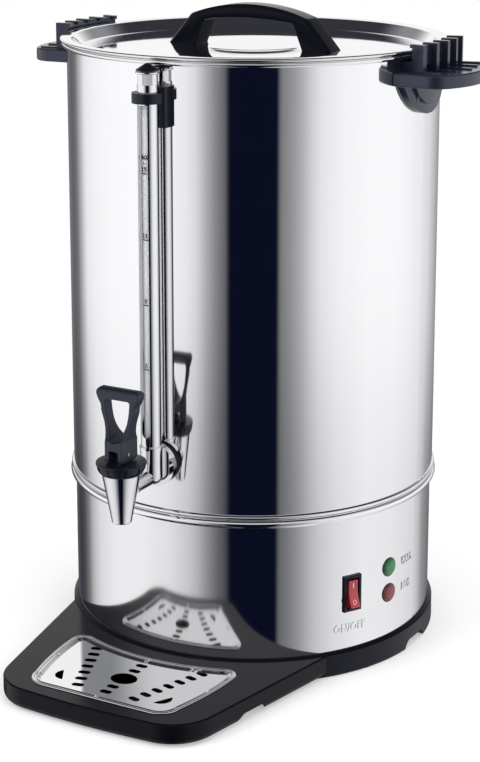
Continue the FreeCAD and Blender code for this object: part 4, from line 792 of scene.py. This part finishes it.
@dataclass
class Lid:
    """The pressed lid with its hemmed lip, and its bridge handle.

    The bends of the sheet are those of the disc, the top of the wall and the lip. The arch and the
    hollow of the bar are each half a width, the drop of the ends, the drop of the crest and the
    radius of the shoulders.
    """

    turns: int = 360
    thick: float = 0.9
    disc_drop: float = 8.3
    dish_r: float = 36.0
    dish_deep: float = 2.2
    dish_margin: float = 40.0
    disc_r: float = 131.0
    wall_r: float = 138.3
    hem_r: float = 142.4
    hem_high: float = 2.45
    bends: tuple = (3.2, 2.4, 0.76)
    arch: tuple = (50.0, 9.0, 0.0, 7.0)
    hollow: tuple = (38.5, 13.0, 10.0, 4.0)
    hollow_foot: float = 46.0
    bar_deep: float = 10.0
    bevel: float = 2.6
    low_bevel: float = 1.0
    top_round: float = 1.2
    side_round: float = 0.7
    under_round: float = 0.6

    def pan(self) -> None:
        """Spin the sheet's middle line, thickened: dish, disc, sloped wall and hemmed lip."""
        box = Extent.of("lid_pan")
        half = self.thick / 2
        disc_z, top_z, edge_r = box.high[2] - self.disc_drop - half, box.high[2] - half, box.high[0] - half
        hem_z = box.high[2] - self.hem_high + half
        disc_bend, wall_bend, lip_bend = self.bends
        whole_dish = arc_through((-self.dish_r, disc_z), (0.0, disc_z - self.dish_deep),
                                 (self.dish_r, disc_z), 61)
        outer = rounded([(self.dish_r, disc_z), (self.dish_r + self.dish_margin, disc_z),
                         (self.disc_r, disc_z, disc_bend), (self.wall_r, top_z, wall_bend),
                         (edge_r, top_z, lip_bend), (edge_r, hem_z, lip_bend), (self.hem_r, hem_z)], 9)
        profile = thickened(np.concatenate([whole_dish[30:], outer[1:]]), self.thick)
        settle(skin("lid_shell", spun(profile, self.turns)), Look.LID, "lid", "pressed_steel", "lid_pan")

    def bar(self) -> None:
        """Carry a bevelled section along the bridge.

        The point of section step (depth y, height h) at bridge step i lies between the inner
        outline I_i and the outer outline O_i: under half height it is I_i plus h along the line
        from I_i to O_i, and over half height it is O_i less what h lacks of the full height.
        """
        box = Extent.of("lid_handle")
        base_z, crest_z, wide = box.low[2], box.high[2], box.high[1]
        outlines = []
        for foot, (half, end_drop, crest_drop, shoulder) in ((box.high[0], self.arch),
                                                             (self.hollow_foot, self.hollow)):
            end_z = crest_z - end_drop
            path = arc_through((-half, end_z), (0.0, crest_z - crest_drop), (half, end_z), 33)
            inner = [tuple(point) for point in path[3:-3]]
            outlines.append(rounded([(-foot, base_z), (*path[0], shoulder), *inner,
                                     (*path[-1], shoulder), (foot, base_z)], 9))
        outer, under = outlines
        full, edge, low = self.bar_deep, self.bevel, self.low_bevel
        high = full - edge
        section = rounded([(-wide, low, self.side_round), (-wide, high, self.top_round),
                           (-wide + edge, full, self.top_round), (wide - edge, full, self.top_round),
                           (wide, high, self.top_round), (wide, low, self.side_round),
                           (wide - low, 0.0, self.under_round), (low - wide, 0.0, self.under_round)],
                          5, closed=True)
        depth, height = section[:, 0], section[:, 1]
        near = (height > full / 2).astype(float)
        line = outer - under
        unit = line / np.linalg.norm(line, axis=1)[:, None]
        flat = (under[:, None] + line[:, None] * near[None, :, None]
                + unit[:, None] * (height - full * near)[None, :, None])
        flat[..., 1] = np.maximum(flat[..., 1], base_z)
        points = np.stack([flat[..., 0], np.broadcast_to(depth, flat.shape[:2]), flat[..., 1]], axis=-1)
        settle(skin("lid_bar", points, caps=True), Look.LID_BAR, "lid", "black_plastic", "lid_handle")

    def build(self) -> None:
        """Make the lid and its handle."""
        self.pan()
        self.bar()
        log.info("lid: shell and bar")


@dataclass
class Tap:
    """The ribbed bonnet, the soft lever and the spring over the chromed spout.

    A flute starts where the wave round the skirt passes groove_start and is full after groove_span
    more, and groove_fade is its share on the skirt's first rows.
    """

    ribs: int = 10
    steps_per_rib: int = 32
    groove: float = 1.4
    first_groove: float = 4.0
    groove_start: float = 0.3
    groove_span: float = 0.4
    groove_fade: tuple = (0.0, 0.35, 0.75)
    skirt_r: float = 14.6
    skirt_lift: float = 0.5
    belly_r: float = 16.6
    belly_high: float = 2.9
    rim_high: float = 2.1
    rim_round: float = 0.7
    rim_step: float = 0.5
    rim_edge: float = 0.1
    edge_round: float = 0.05
    stem_hole_r: float = 3.06
    neck_hole_r: float = 11.1
    skirt_thin: float = 0.6
    plate: float = 3.0
    stem_travel: float = 3.8
    lever_voxel: float = 0.36
    lever_passes: int = 7

    def bonnet(self) -> None:
        """Spin the cap; its skirt is r less the groove depth times a pulse of cos(ribs times the turn)."""
        box = Extent.of("tap_bonnet")
        low, high, rim_r = box.low[2], box.high[2], box.size[0] / 2
        rim_z = high - self.rim_high
        skirt = arc_through((self.skirt_r, low + self.skirt_lift), (self.belly_r, low + self.belly_high),
                            (rim_r - self.rim_round, rim_z - self.rim_edge), 16)
        top = rounded([(rim_r - self.rim_step, rim_z), (rim_r, rim_z + self.rim_edge, self.edge_round),
                       (rim_r, high, self.rim_round), (self.stem_hole_r, high),
                       (self.stem_hole_r, high - self.plate), (self.neck_hole_r, high - self.plate),
                       (self.neck_hole_r, low), (self.skirt_r - self.skirt_thin, low)], 6)
        turns = self.ribs * self.steps_per_rib
        points = spun(np.concatenate([skirt, top]), turns)
        turn = np.linspace(0.0, 2 * np.pi, turns, endpoint=False) - math.radians(self.first_groove)
        pulse = np.clip((np.cos(self.ribs * turn) - self.groove_start) / self.groove_span, 0.0, 1.0)
        pulse = pulse ** 2 * (3 - 2 * pulse)
        depth = np.zeros(len(points))
        depth[1:len(skirt)] = self.groove
        depth[:len(self.groove_fade)] *= self.groove_fade
        radius = np.hypot(points[..., 0], points[..., 1])
        points[..., :2] *= (1 - depth[:, None] * pulse / radius)[..., None]
        points[..., :2] += box.middle[:2]
        piece = skin("bonnet_cap", points, close_rows=True, sharp_angle=50.0)
        settle(piece, Look.BONNET, "root", "black_plastic", "tap_bonnet")

    def spring(self, spring: bpy.types.Object) -> None:
        """Give the spring its own copy of its mesh."""
        box = Extent.of("tap_spring")
        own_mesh(spring)

    def build(self, nodes: dict) -> None:
        """Make the bonnet and the lever, and give the spring its own mesh."""
        self.bonnet()
        self.spring(nodes["tap_spring"])
        lever = merged_copy(nodes["tap_lever"], "lever_soft")
        melt(lever, self.lever_voxel, self.lever_passes)
        settle(lever, Look.LEVER, "lever", "black_plastic", "tap_lever")
        log.info("tap: bonnet, lever and spring")


@dataclass
class SightGauge:
    """Marks on the glass, and the soft clip that holds the guard.

    Each rise is the height of a mark's middle over the line of 15 litres, or of its own litres.
    """

    letters: Lettering = Lettering(thick=0.03, bold=0.55)
    mark_gap: float = 0.03
    mark_turn: float = -4.0
    top_mark_drop: float = 64.3
    litres: tuple = (15, 12, 9, 6)
    litre_step: float = 15.85
    max_size: tuple = (6.2, 3.5)
    max_rise: float = 11.6
    unit_size: tuple = (1.5, 2.4)
    unit_rise: float = 7.5
    digit_high: float = 3.8
    digit_rise: float = 2.9
    number_wide: tuple = (2.3, 4.2)
    line: tuple = (4.6, 0.8)
    line_thick: float = 0.06
    clip_edge: float = 0.7

    def mark(self, name: str, text: str, size: Sequence[float], z: float) -> None:
        """Print one word or number on the glass, towards the slot."""
        glass = Extent.of("gauge_glass")
        piece = self.letters.wrapped(name, text, size, glass.size[0] / 2 + self.mark_gap, self.mark_turn, z,
                                     glass.middle[:2])
        settle(piece, Look.INK, "root", "black_plastic")

    def line_mark(self, name: str, z: float) -> None:
        """Print a line round a part of the glass: its section (out, up) is carried round the axis."""
        glass = Extent.of("gauge_glass")
        radius, (wide, high) = glass.size[0] / 2, self.line
        turn = math.radians(self.mark_turn) + np.linspace(-0.5, 0.5, 13) * wide / radius
        up = np.array([-0.5, -0.5, 0.5, 0.5]) * high
        out = (radius + np.array([0.0, 1.0, 1.0, 0.0]) * self.line_thick)[None, :]
        points = np.stack([glass.middle[0] + out * np.sin(turn)[:, None],
                           glass.middle[1] - out * np.cos(turn)[:, None],
                           np.broadcast_to(z + up, (len(turn), 4))], axis=-1)
        settle(skin(name, points, caps=True), Look.INK, "root", "black_plastic")

    def build(self, nodes: dict) -> None:
        """Print the scale from 15 litres down to 6, with a line under each number."""
        top = Extent.of("gauge_glass").high[2] - self.top_mark_drop
        self.mark("mark_max", "MAX", self.max_size, top + self.max_rise)
        self.mark("mark_litres", "L", self.unit_size, top + self.unit_rise)
        for litres in self.litres:
            number = str(litres)
            z = top - (self.litres[0] - litres) * self.litre_step
            size = (self.number_wide[len(number) - 1], self.digit_high)
            self.mark("mark_" + number, number, size, z + self.digit_rise)
            self.line_mark("line_" + number, z)
        clip = merged_copy(nodes["gauge_bracket"], "gauge_clip")
        soften(clip, self.clip_edge)
        settle(clip, Look.CLIP, "root", "black_plastic", "gauge_bracket")
        log.info("gauge: marks and clip")


@dataclass
class SideHandles:
    """Both side mouldings, with their edges rounded."""

    edge: float = 0.8

    def build(self, nodes: dict) -> None:
        """Round the edges of both handles."""
        for side in ("left", "right"):
            handle = merged_copy(nodes["side_handle_" + side], "handle_" + side)
            soften(handle, self.edge)
            settle(handle, Look.HANDLE, "root", "black_plastic", "side_handle_" + side)
        log.info("side handles")


@dataclass
class DripTray:
    """The pressed grid: a flat plate with its holes, and a beaded rim round it.

    The groove is its start, its end and its height over the plate, and the ridge its depth and
    height. Rounds are the radii of the bead, the groove and the ridge.
    """

    back_gap: float = 14.2
    side_bow: float = 2.4
    nose_in: float = 8.9
    front_corner: float = 16.0
    back_corner: float = 9.2
    rim_high: float = 1.9
    rim_out: float = 0.05
    groove: tuple = (2.1, 3.0, 0.7)
    ridge: tuple = (3.9, 1.7)
    rounds: tuple = (0.95, 0.3, 0.6)
    foot: float = 6.6
    foot_sink: float = 0.05
    bead_lean: float = 0.1
    under: float = 0.3
    step: float = 0.5
    notch_half: float = 1.3
    notch_in: float = 3.2
    side_notch_y: float = -186.0
    sharp_angle: float = 30.0

    def outline(self) -> np.ndarray:
        """Follow the grid's edge at even steps: the right half from back to front, and its mirror image.

        The back is an arc round the body, the corners and the bowed sides are arcs, the front is
        straight.
        """
        box = Extent.of("drip_grid")
        back_r = Extent.of("base_ring").high[0] + self.back_gap
        side_x, front_y, corner = box.high[0], box.low[1], self.front_corner
        nose_x = side_x - self.nose_in
        bend = corner * (1 - math.sqrt(0.5))
        centre = np.array([side_x - self.back_corner, 0.0])
        centre[1] = -math.sqrt((back_r + self.back_corner) ** 2 - centre[0] ** 2)
        inward = centre / np.linalg.norm(centre)
        outward = np.array([1.0, 0.0]) - inward
        outward *= self.back_corner / np.linalg.norm(outward)
        end = inward * back_r
        back = arc_through((-end[0], end[1]), (0.0, -back_r), end, 61)[30:]
        turn = arc_through(end, centre + outward, (side_x, centre[1]), 13)
        side = arc_through((side_x, centre[1]), (side_x - self.side_bow, (centre[1] + front_y + corner) / 2),
                           (nose_x, front_y + corner), 31)
        front = arc_through((nose_x, front_y + corner), (nose_x - bend, front_y + bend),
                            (nose_x - corner, front_y), 17)
        half = np.concatenate([back, turn[1:], side[1:], front[1:]])
        whole = np.concatenate([half, half[::-1] * (-1, 1)])
        steps = np.linalg.norm(np.diff(whole, axis=0), axis=1)
        run = np.concatenate([[0.0], np.cumsum(steps)])
        places = np.arange(0.0, run[-1], self.step)
        return np.stack([np.interp(places, run, whole[:, 0]), np.interp(places, run, whole[:, 1])], axis=1)

    def section(self) -> np.ndarray:
        """Return the rim's section as (depth, height): a bead, a groove, a ridge and a slope."""
        high, out = self.rim_high, -self.rim_out
        near, far, low = self.groove
        bead, groove, ridge = self.rounds
        return rounded([(out, -self.under), (out, high, bead), (near - self.bead_lean, high, bead),
                        (near, low, groove), (far, low, groove), (*self.ridge, ridge),
                        (self.foot, -self.foot_sink), (self.foot, -self.under)], 6)

    def rim(self, top: float) -> None:
        """Carry the rim's section along the outline.

        The point of section (depth d, height h) at outline point p lies at p + d times the inward
        normal, h over the plate. At a drain notch the ridge sinks into the plate.
        """
        path = self.outline()
        along = np.roll(path, -1, axis=0) - np.roll(path, 1, axis=0)
        inward = np.stack([along[:, 1], -along[:, 0]], axis=1) / np.linalg.norm(along, axis=1)[:, None]
        middle = (path.min(axis=0) + path.max(axis=0)) / 2
        inward *= np.sign(np.sum(inward * (middle - path), axis=1).mean())
        depth, height = self.section().T
        on_side = np.abs(path[:, 1] - self.side_notch_y) < self.notch_half
        on_axis = np.abs(path[:, 0]) < self.notch_half
        sunk = (on_side | on_axis)[:, None] & (depth > self.notch_in)[None, :]
        level = np.where(sunk, np.minimum(height, -self.foot_sink), height)
        flat = path[:, None] + inward[:, None] * depth[None, :, None]
        points = np.concatenate([flat, (top + level)[..., None]], axis=-1)
        rim = skin("grid_rim", points, close_rows=True, sharp_angle=50.0)
        settle(rim, Look.GRID, "grid", "pressed_steel")

    def build(self, nodes: dict) -> None:
        """Press the copied grid flat, so that the new rim covers its edge."""
        grid = merged_copy(nodes["drip_grid"], "grid_plate", self.sharp_angle, 0.0)
        top = Extent.of("drip_grid").high[2] - self.rim_high
        places = mesh_points(grid.data)
        places[:, 2] = np.minimum(places[:, 2], top * MM)
        grid.data.vertices.foreach_set("co", places.ravel())
        close_up(grid.data, self.sharp_angle)
        settle(grid, Look.GRID, "grid", "pressed_steel", "drip_grid")
        self.rim(top)
        log.info("drip grid: plate and rim")


@dataclass
class FrontPanel:
    """The drafted rocker with its marks, and the domed lenses of the two pilot lamps.

    Root and base of the rocker are half a width, half a height and how far they stand out. The
    knee is a point of its hollow face, as how far it stands out and its height.
    """

    pivot_in: float = 1.5
    tilt: float = 10.0
    root: tuple = (5.3, 6.0, -3.0)
    base: tuple = (5.3, 10.8, 1.5)
    face_half: tuple = (3.9, 10.3)
    face_flare: float = 0.12
    face_edge: float = 0.5
    edge_share: float = 0.3
    edge_drop: float = 0.05
    inner_share: float = 0.02
    corner: float = 0.12
    end_out: float = 8.0
    middle_out: float = 5.9
    knee: tuple = (6.3, 4.5)
    # Faces that turn less than this towards the front get the painted shade material.
    facing: float = 0.80
    letters: Lettering = Lettering(thick=0.08)
    on_mark: tuple = (0.8, 3.9)
    on_up: float = 6.2
    off_mark: tuple = (3.2, 3.6)
    off_up: float = -6.4
    lens_deep: float = 0.7
    lens_foot: float = 0.3
    lens_apex: float = 2.7
    lens_edge: float = 0.45

    def placed(self, across: np.ndarray, out: np.ndarray, up: np.ndarray, middle: np.ndarray) -> np.ndarray:
        """Set points against the housing, at the angle and the height of a middle point.

        The point (across, out, up) goes to the wall's radius plus out along the outward line, across
        along the level tangent, and up from the middle's height.
        """
        angle = math.atan2(middle[0], -middle[1])
        radius = Extent.of("lower_housing").high[0] - Walls.bead_step + out
        return np.stack([across * math.cos(angle) + radius * math.sin(angle),
                         across * math.sin(angle) - radius * math.cos(angle), middle[2] + up], axis=-1)

    def face(self, up: np.ndarray) -> np.ndarray:
        """Return how far the hollow face stands out: a circle through its middle, knee and end."""
        arc = arc_through((0.0, self.middle_out), self.knee[::-1], (self.base[1], self.end_out), 60)
        return np.interp(np.abs(up), arc[:, 0], arc[:, 1])

    def tipped(self, across: np.ndarray, out: np.ndarray, up: np.ndarray) -> np.ndarray:
        """Turn the rocker's points about its pin, upper end in, and set them in the switch."""
        tilt = math.radians(self.tilt)
        turned_out = out * math.cos(tilt) - up * math.sin(tilt) - self.pivot_in
        turned_up = out * math.sin(tilt) + up * math.cos(tilt)
        return self.placed(across, turned_out, turned_up, Extent.of("switch_case").middle)

    def rocker(self) -> None:
        """Stack rounded rectangles: root, base, edge of the face, then rings that close over the face.

        Each ring is the same outline with its own half width and half height. Root and base stand
        out by a fixed height, and the others by face(up) less their drop.
        """
        edge, share = self.face_edge, self.edge_share
        wide, high = self.face_half
        rings = [(wide - inset, high - inset, drop) for inset, drop in (
            (-self.face_flare, edge), (0.0, share * edge), (share * edge, self.edge_drop), (edge, 0.0))]
        rings += [((wide - edge) * part, (high - edge) * part, 0.0)
                  for part in np.linspace(1.0, self.inner_share, 14)[1:]]
        corners = [(1, 1, self.corner), (-1, 1, self.corner), (-1, -1, self.corner), (1, -1, self.corner)]
        turned = rounded(corners, 5, closed=True)
        unit = np.concatenate([np.linspace(a, b, 24, endpoint=False)
                               for a, b in zip(turned, np.roll(turned, -1, axis=0))])
        rows = [self.tipped(unit[:, 0] * half_x, np.full(len(unit), out), unit[:, 1] * half_z)
                for half_x, half_z, out in (self.root, self.base)]
        for half_x, half_z, drop in rings:
            up = unit[:, 1] * half_z
            rows.append(self.tipped(unit[:, 0] * half_x, self.face(up) - drop, up))
        piece = skin("rocker_cap", np.stack(rows), caps=True, sharp_angle=30.0)
        settle(piece, Look.ROCKER, "rocker", "red_rocker", "rocker")
        # The second material is a darker, duller copy of the plastic: painted shade for the faces turned
        # away from the front.
        piece.data.materials.append(Look.ROCKER_SIDE.value.material())
        front = self.tipped(np.zeros(2), np.array([0.0, 1.0]), np.zeros(2))
        normals = np.empty(len(piece.data.polygons) * 3)
        piece.data.polygons.foreach_get("normal", normals)
        side = normals.reshape(-1, 3) @ (front[1] - front[0]) < self.facing
        piece.data.polygons.foreach_set("material_index", side.astype(np.int32))

    def mark(self, name: str, text: str, size: Sequence[float], up: float) -> None:
        """Lay a mark on the hollow face: a letter point (x, y, lift) stands out by face(y) + lift."""
        mesh, points = self.letters.flat(text, size)
        height = points[:, 1] + up
        out = self.face(height) + points[:, 2] + self.letters.thick / 2
        piece = self.letters.piece(name, mesh, self.tipped(points[:, 0], out, height))
        settle(piece, Look.MARK, "rocker", "white_plastic")

    def lens(self, node: str, name: str, look: Look) -> None:
        """Spin the dome, an arc with a rounded edge, about the line out of the wall.

        Each point keeps its share of the radius, from 0 in the middle to 1 at the rim.
        """
        box = Extent.of(node)
        radius = box.size[2] / 2
        whole = arc_through((-radius, self.lens_foot), (0.0, self.lens_apex), (radius, self.lens_foot), 41)
        dome = whole[20:]
        outline = rounded([*map(tuple, dome[:-1]), (radius, self.lens_foot, self.lens_edge),
                           (radius, -self.lens_deep)], 6)
        turn = np.linspace(0.0, 2 * np.pi, 64, endpoint=False)
        across, up = outline[:, :1] * np.sin(turn), outline[:, :1] * np.cos(turn)
        points = self.placed(across, outline[:, 1:] + 0 * across, up, box.middle)
        piece = skin(name, points, caps=True)
        settle(piece, look, "root", node.replace("lamp_lens_", "") + "_lens", node)
        middle, ahead = self.placed(np.zeros(2), np.array([0.0, 1.0]), np.zeros(2), box.middle)
        flat = mesh_points(piece.data) / MM - middle
        flat -= np.outer(flat @ (ahead - middle), ahead - middle)
        share = piece.data.attributes.new(RIM_SHARE, "FLOAT", "POINT")
        share.data.foreach_set("value", np.linalg.norm(flat, axis=1) / radius)

    def build(self) -> None:
        """Make the rocker, its marks and the lenses."""
        self.rocker()
        self.mark("mark_on", "I", self.on_mark, self.on_up)
        self.mark("mark_off", "O", self.off_mark, self.off_up)
        self.lens("lamp_lens_green", "green_dome", Look.GREEN)
        self.lens("lamp_lens_red", "red_dome", Look.RED)
        log.info("panel: rocker, marks and lenses")


# Studio
@dataclass(frozen=True)
class Flag:
    """Brightness that polished metal sees in one direction.

    The angle counts from the lens round the urn. The first brightness is for rays a little below
    the horizon, and the second for rays that dip steeply.
    """

    angle: float
    level_view: float
    steep_view: float


@dataclass(frozen=True)
class SoftLamp:
    """A square lamp, with its place and side in millimetres and its power in watts."""

    name: str
    place: tuple
    side: float
    power: float


@dataclass
class Studio:
    """Pale floor, soft lamps, the camera, and the dark flags that shape the steel.

    A band is two angles in degrees between which one brightness gives way to another: dip, lifted,
    over and roof lie above the horizon, aside and behind lie off the lens round the urn.
    """

    lens_azimuth: float = 28.69
    lens_distance: float = 1470.0
    lens_height: float = 629.0
    lens_pitch: float = 12.33
    lens_yaw: float = 0.405
    focal_pixels: float = 1934.0
    picture_height: float = 762.0
    sensor: float = 36.0
    lens_shift: float = -0.19
    floor_half: float = 9000.0
    floor_paint: tuple = (0.93, 0.93, 0.93)
    shadow_reach: tuple = (330.0, 620.0)
    shadow_white: float = 0.35
    dip: tuple = (-21.0, -13.0)
    lifted: tuple = (-1.0, 5.0)
    over: tuple = (8.0, 13.0)
    roof: tuple = (30.0, 44.0)
    aside: tuple = (60.0, 110.0)
    behind: tuple = (150.0, 170.0)
    ceiling: tuple = (0.035, 0.036, 0.045)
    front_sky: tuple = (0.72, 0.725, 0.74)
    side_sky: tuple = (0.27, 0.275, 0.29)
    bright_sky: tuple = (0.98, 0.98, 0.98)
    soft_light: tuple = (0.62, 0.62, 0.63)
    backdrop: tuple = (1.0, 1.0, 1.0)
    night: tuple = (0.0030, 0.0042, 0.0160)
    flags: tuple = (
        Flag(-180, 0.26, 0.14), Flag(-150, 0.12, 0.04), Flag(-141, 0.18, 0.07), Flag(-133, 0.50, 0.20),
        Flag(-126, 0.88, 0.50), Flag(-116, 0.98, 0.76), Flag(-98, 1.05, 0.92), Flag(-75, 1.07, 0.92),
        Flag(-55, 1.00, 0.82), Flag(-41, 0.90, 0.62), Flag(-35, 0.77, 0.47), Flag(-29, 0.48, 0.28),
        Flag(-23, 0.27, 0.15), Flag(-16.4, 0.12, 0.05), Flag(-15.0, 0.0, 0.0), Flag(15.0, 0.0, 0.0),
        Flag(15.8, 0.20, 0.13), Flag(23, 0.32, 0.22), Flag(29, 0.46, 0.32), Flag(35, 0.68, 0.47),
        Flag(41, 0.86, 0.60), Flag(53, 0.98, 0.77), Flag(75, 1.05, 0.91), Flag(98, 1.05, 0.88),
        Flag(116, 0.97, 0.80), Flag(130, 0.86, 0.70), Flag(143, 0.66, 0.30), Flag(160, 0.36, 0.17),
        Flag(180, 0.26, 0.14))
    lamp_aim: tuple = (0.0, 0.0, 250.0)
    lamp_set: tuple = (
        SoftLamp("key", (-900.0, -1500.0, 1700.0), 1400.0, 26.0),
        SoftLamp("fill", (1700.0, -900.0, 1100.0), 1500.0, 18.0),
        SoftLamp("top", (200.0, 500.0, 2200.0), 1800.0, 24.0))

    def camera(self) -> None:
        """Set the camera where the photograph was taken from."""
        data = bpy.data.cameras.new("camera")
        camera = linked("camera", data)
        azimuth = math.radians(self.lens_azimuth)
        aim = math.radians(self.lens_azimuth + self.lens_yaw)
        pitch = math.radians(self.lens_pitch)
        camera.location = Vector((math.sin(azimuth) * self.lens_distance,
                                  -math.cos(azimuth) * self.lens_distance, self.lens_height)) * MM
        forward = Vector((-math.sin(aim) * math.cos(pitch), math.cos(aim) * math.cos(pitch),
                          -math.sin(pitch)))
        camera.rotation_euler = forward.to_track_quat("-Z", "Y").to_euler()
        data.sensor_width = self.sensor
        data.lens = self.focal_pixels / self.picture_height * data.sensor_width
        data.shift_y = self.lens_shift
        data.clip_start = 0.05
        data.clip_end = 60.0
        bpy.context.scene.camera = camera

    def flag_ramp(self, sheet: NodeSheet, share: object, steep: bool) -> bpy.types.NodeSocket:
        """Write one row of flags as a colour ramp.

        Args:
            sheet: The world's nodes.
            share: Place round the urn, from 0 to 1, with the lens at one half.
            steep: Whether the row is for rays that dip steeply.

        Returns:
            The colour output.
        """
        ramp = sheet.add("ShaderNodeValToRGB")
        sheet.link(share, ramp.inputs["Fac"])
        stops = ramp.color_ramp.elements
        for flag in self.flags[1:-1]:
            stops.new((flag.angle + 180.0) / 360.0)
        for stop, flag in zip(stops, self.flags):
            level = flag.steep_view if steep else flag.level_view
            stop.color = (*(level + tone for tone in self.night), 1.0)
        return ramp.outputs["Color"]

    def world(self) -> None:
        """Write the world: white behind, soft light, and flags for the metal."""
        world = bpy.data.worlds.new("studio")
        bpy.context.scene.world = world
        world.use_nodes = True
        sheet = NodeSheet(world.node_tree)
        direction = sheet.add("ShaderNodeSeparateXYZ")
        sheet.link(sheet.add("ShaderNodeTexCoord").outputs["Generated"], direction.inputs[0])
        east, north, up = direction.outputs
        turn = sheet.math("ARCTAN2", east, sheet.math("MULTIPLY", north, -1.0))
        turn = sheet.math("SUBTRACT", turn, math.radians(self.lens_azimuth))
        turn = sheet.math("WRAP", turn, math.pi, -math.pi)
        share = sheet.math("MULTIPLY_ADD", turn, 0.5 / math.pi, 0.5)
        height = sheet.math("ARCSINE", up)
        off_lens = sheet.math("ABSOLUTE", turn)
        level, above, over, roof = (sheet.span(height, *map(math.radians, band))
                                    for band in (self.dip, self.lifted, self.over, self.roof))
        aside, behind = (sheet.span(off_lens, *map(math.radians, band))
                         for band in (self.aside, self.behind))
        walls = sheet.blend(level, self.flag_ramp(sheet, share, True), self.flag_ramp(sheet, share, False))
        walls = sheet.blend(sheet.math("MULTIPLY", aside, above), walls, self.bright_sky)
        sky = sheet.blend(aside, self.front_sky, sheet.blend(behind, self.side_sky, self.bright_sky))
        seen = sheet.blend(roof, sheet.blend(over, walls, sky), self.ceiling)
        path = sheet.add("ShaderNodeLightPath")
        soft = sheet.blend(path.outputs["Is Glossy Ray"], self.soft_light, seen)
        open_view = sheet.math("MAXIMUM", path.outputs["Is Camera Ray"], path.outputs["Is Transmission Ray"])
        background = sheet.value("ShaderNodeBackground", "Background",
                                 {"Color": sheet.blend(open_view, soft, self.backdrop)})
        sheet.link(background, sheet.add("ShaderNodeOutputWorld").inputs["Surface"])

    def floor(self) -> None:
        """Lay a pale floor that keeps the shadow near the urn and is plain white further off."""
        mesh = bpy.data.meshes.new("floor")
        half = self.floor_half * MM
        corners = [(-half, -half, 0), (half, -half, 0), (half, half, 0), (-half, half, 0)]
        mesh.from_pydata(corners, [], [(0, 1, 2, 3)])
        floor = linked("floor", mesh)
        material = bpy.data.materials.new("pale_floor")
        material.use_nodes = True
        sheet = NodeSheet(material.node_tree)
        length = sheet.value("ShaderNodeVectorMath", "Value", {0: sheet.place()}, operation="LENGTH")
        near, far = (reach * MM for reach in self.shadow_reach)
        white = sheet.span(length, near, far, self.shadow_white, 1.0)
        camera_ray = sheet.add("ShaderNodeLightPath").outputs["Is Camera Ray"]
        mixed = sheet.value("ShaderNodeMixShader", 0, {
            "Fac": sheet.math("MULTIPLY", camera_ray, white),
            1: sheet.value("ShaderNodeBsdfDiffuse", "BSDF", {"Color": self.floor_paint}),
            2: sheet.add("ShaderNodeEmission").outputs["Emission"]})
        sheet.link(mixed, sheet.add("ShaderNodeOutputMaterial").inputs["Surface"])
        mesh.materials.append(material)
        floor.visible_glossy = False

    def lamps(self) -> None:
        """Hang soft lamps; the steel sees the flags in place of them."""
        for lamp in self.lamp_set:
            data = bpy.data.lights.new(lamp.name, "AREA")
            data.size = lamp.side * MM
            data.energy = lamp.power
            light = linked(lamp.name, data)
            light.visible_glossy = False
            light.location = Vector(lamp.place) * MM
            aim = Vector(self.lamp_aim) * MM - light.location
            light.rotation_euler = aim.to_track_quat("-Z", "Y").to_euler()

    def build(self) -> None:
        """Set up the whole studio."""
        self.camera()
        self.world()
        self.floor()
        self.lamps()
        bpy.context.scene.view_settings.view_transform = "Standard"
        log.info("studio ready")


def main() -> None:
    """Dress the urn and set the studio."""
    logging.basicConfig(level=logging.INFO, format="%(message)s")
    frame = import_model()
    nodes = frame["nodes"]
    dress_nodes(nodes)
    Walls().build()
    Lid().build()
    Tap().build(nodes)
    SightGauge().build(nodes)
    SideHandles().build(nodes)
    DripTray().build(nodes)
    FrontPanel().build()
    Studio().build()


if __name__ == "__main__":
    main()
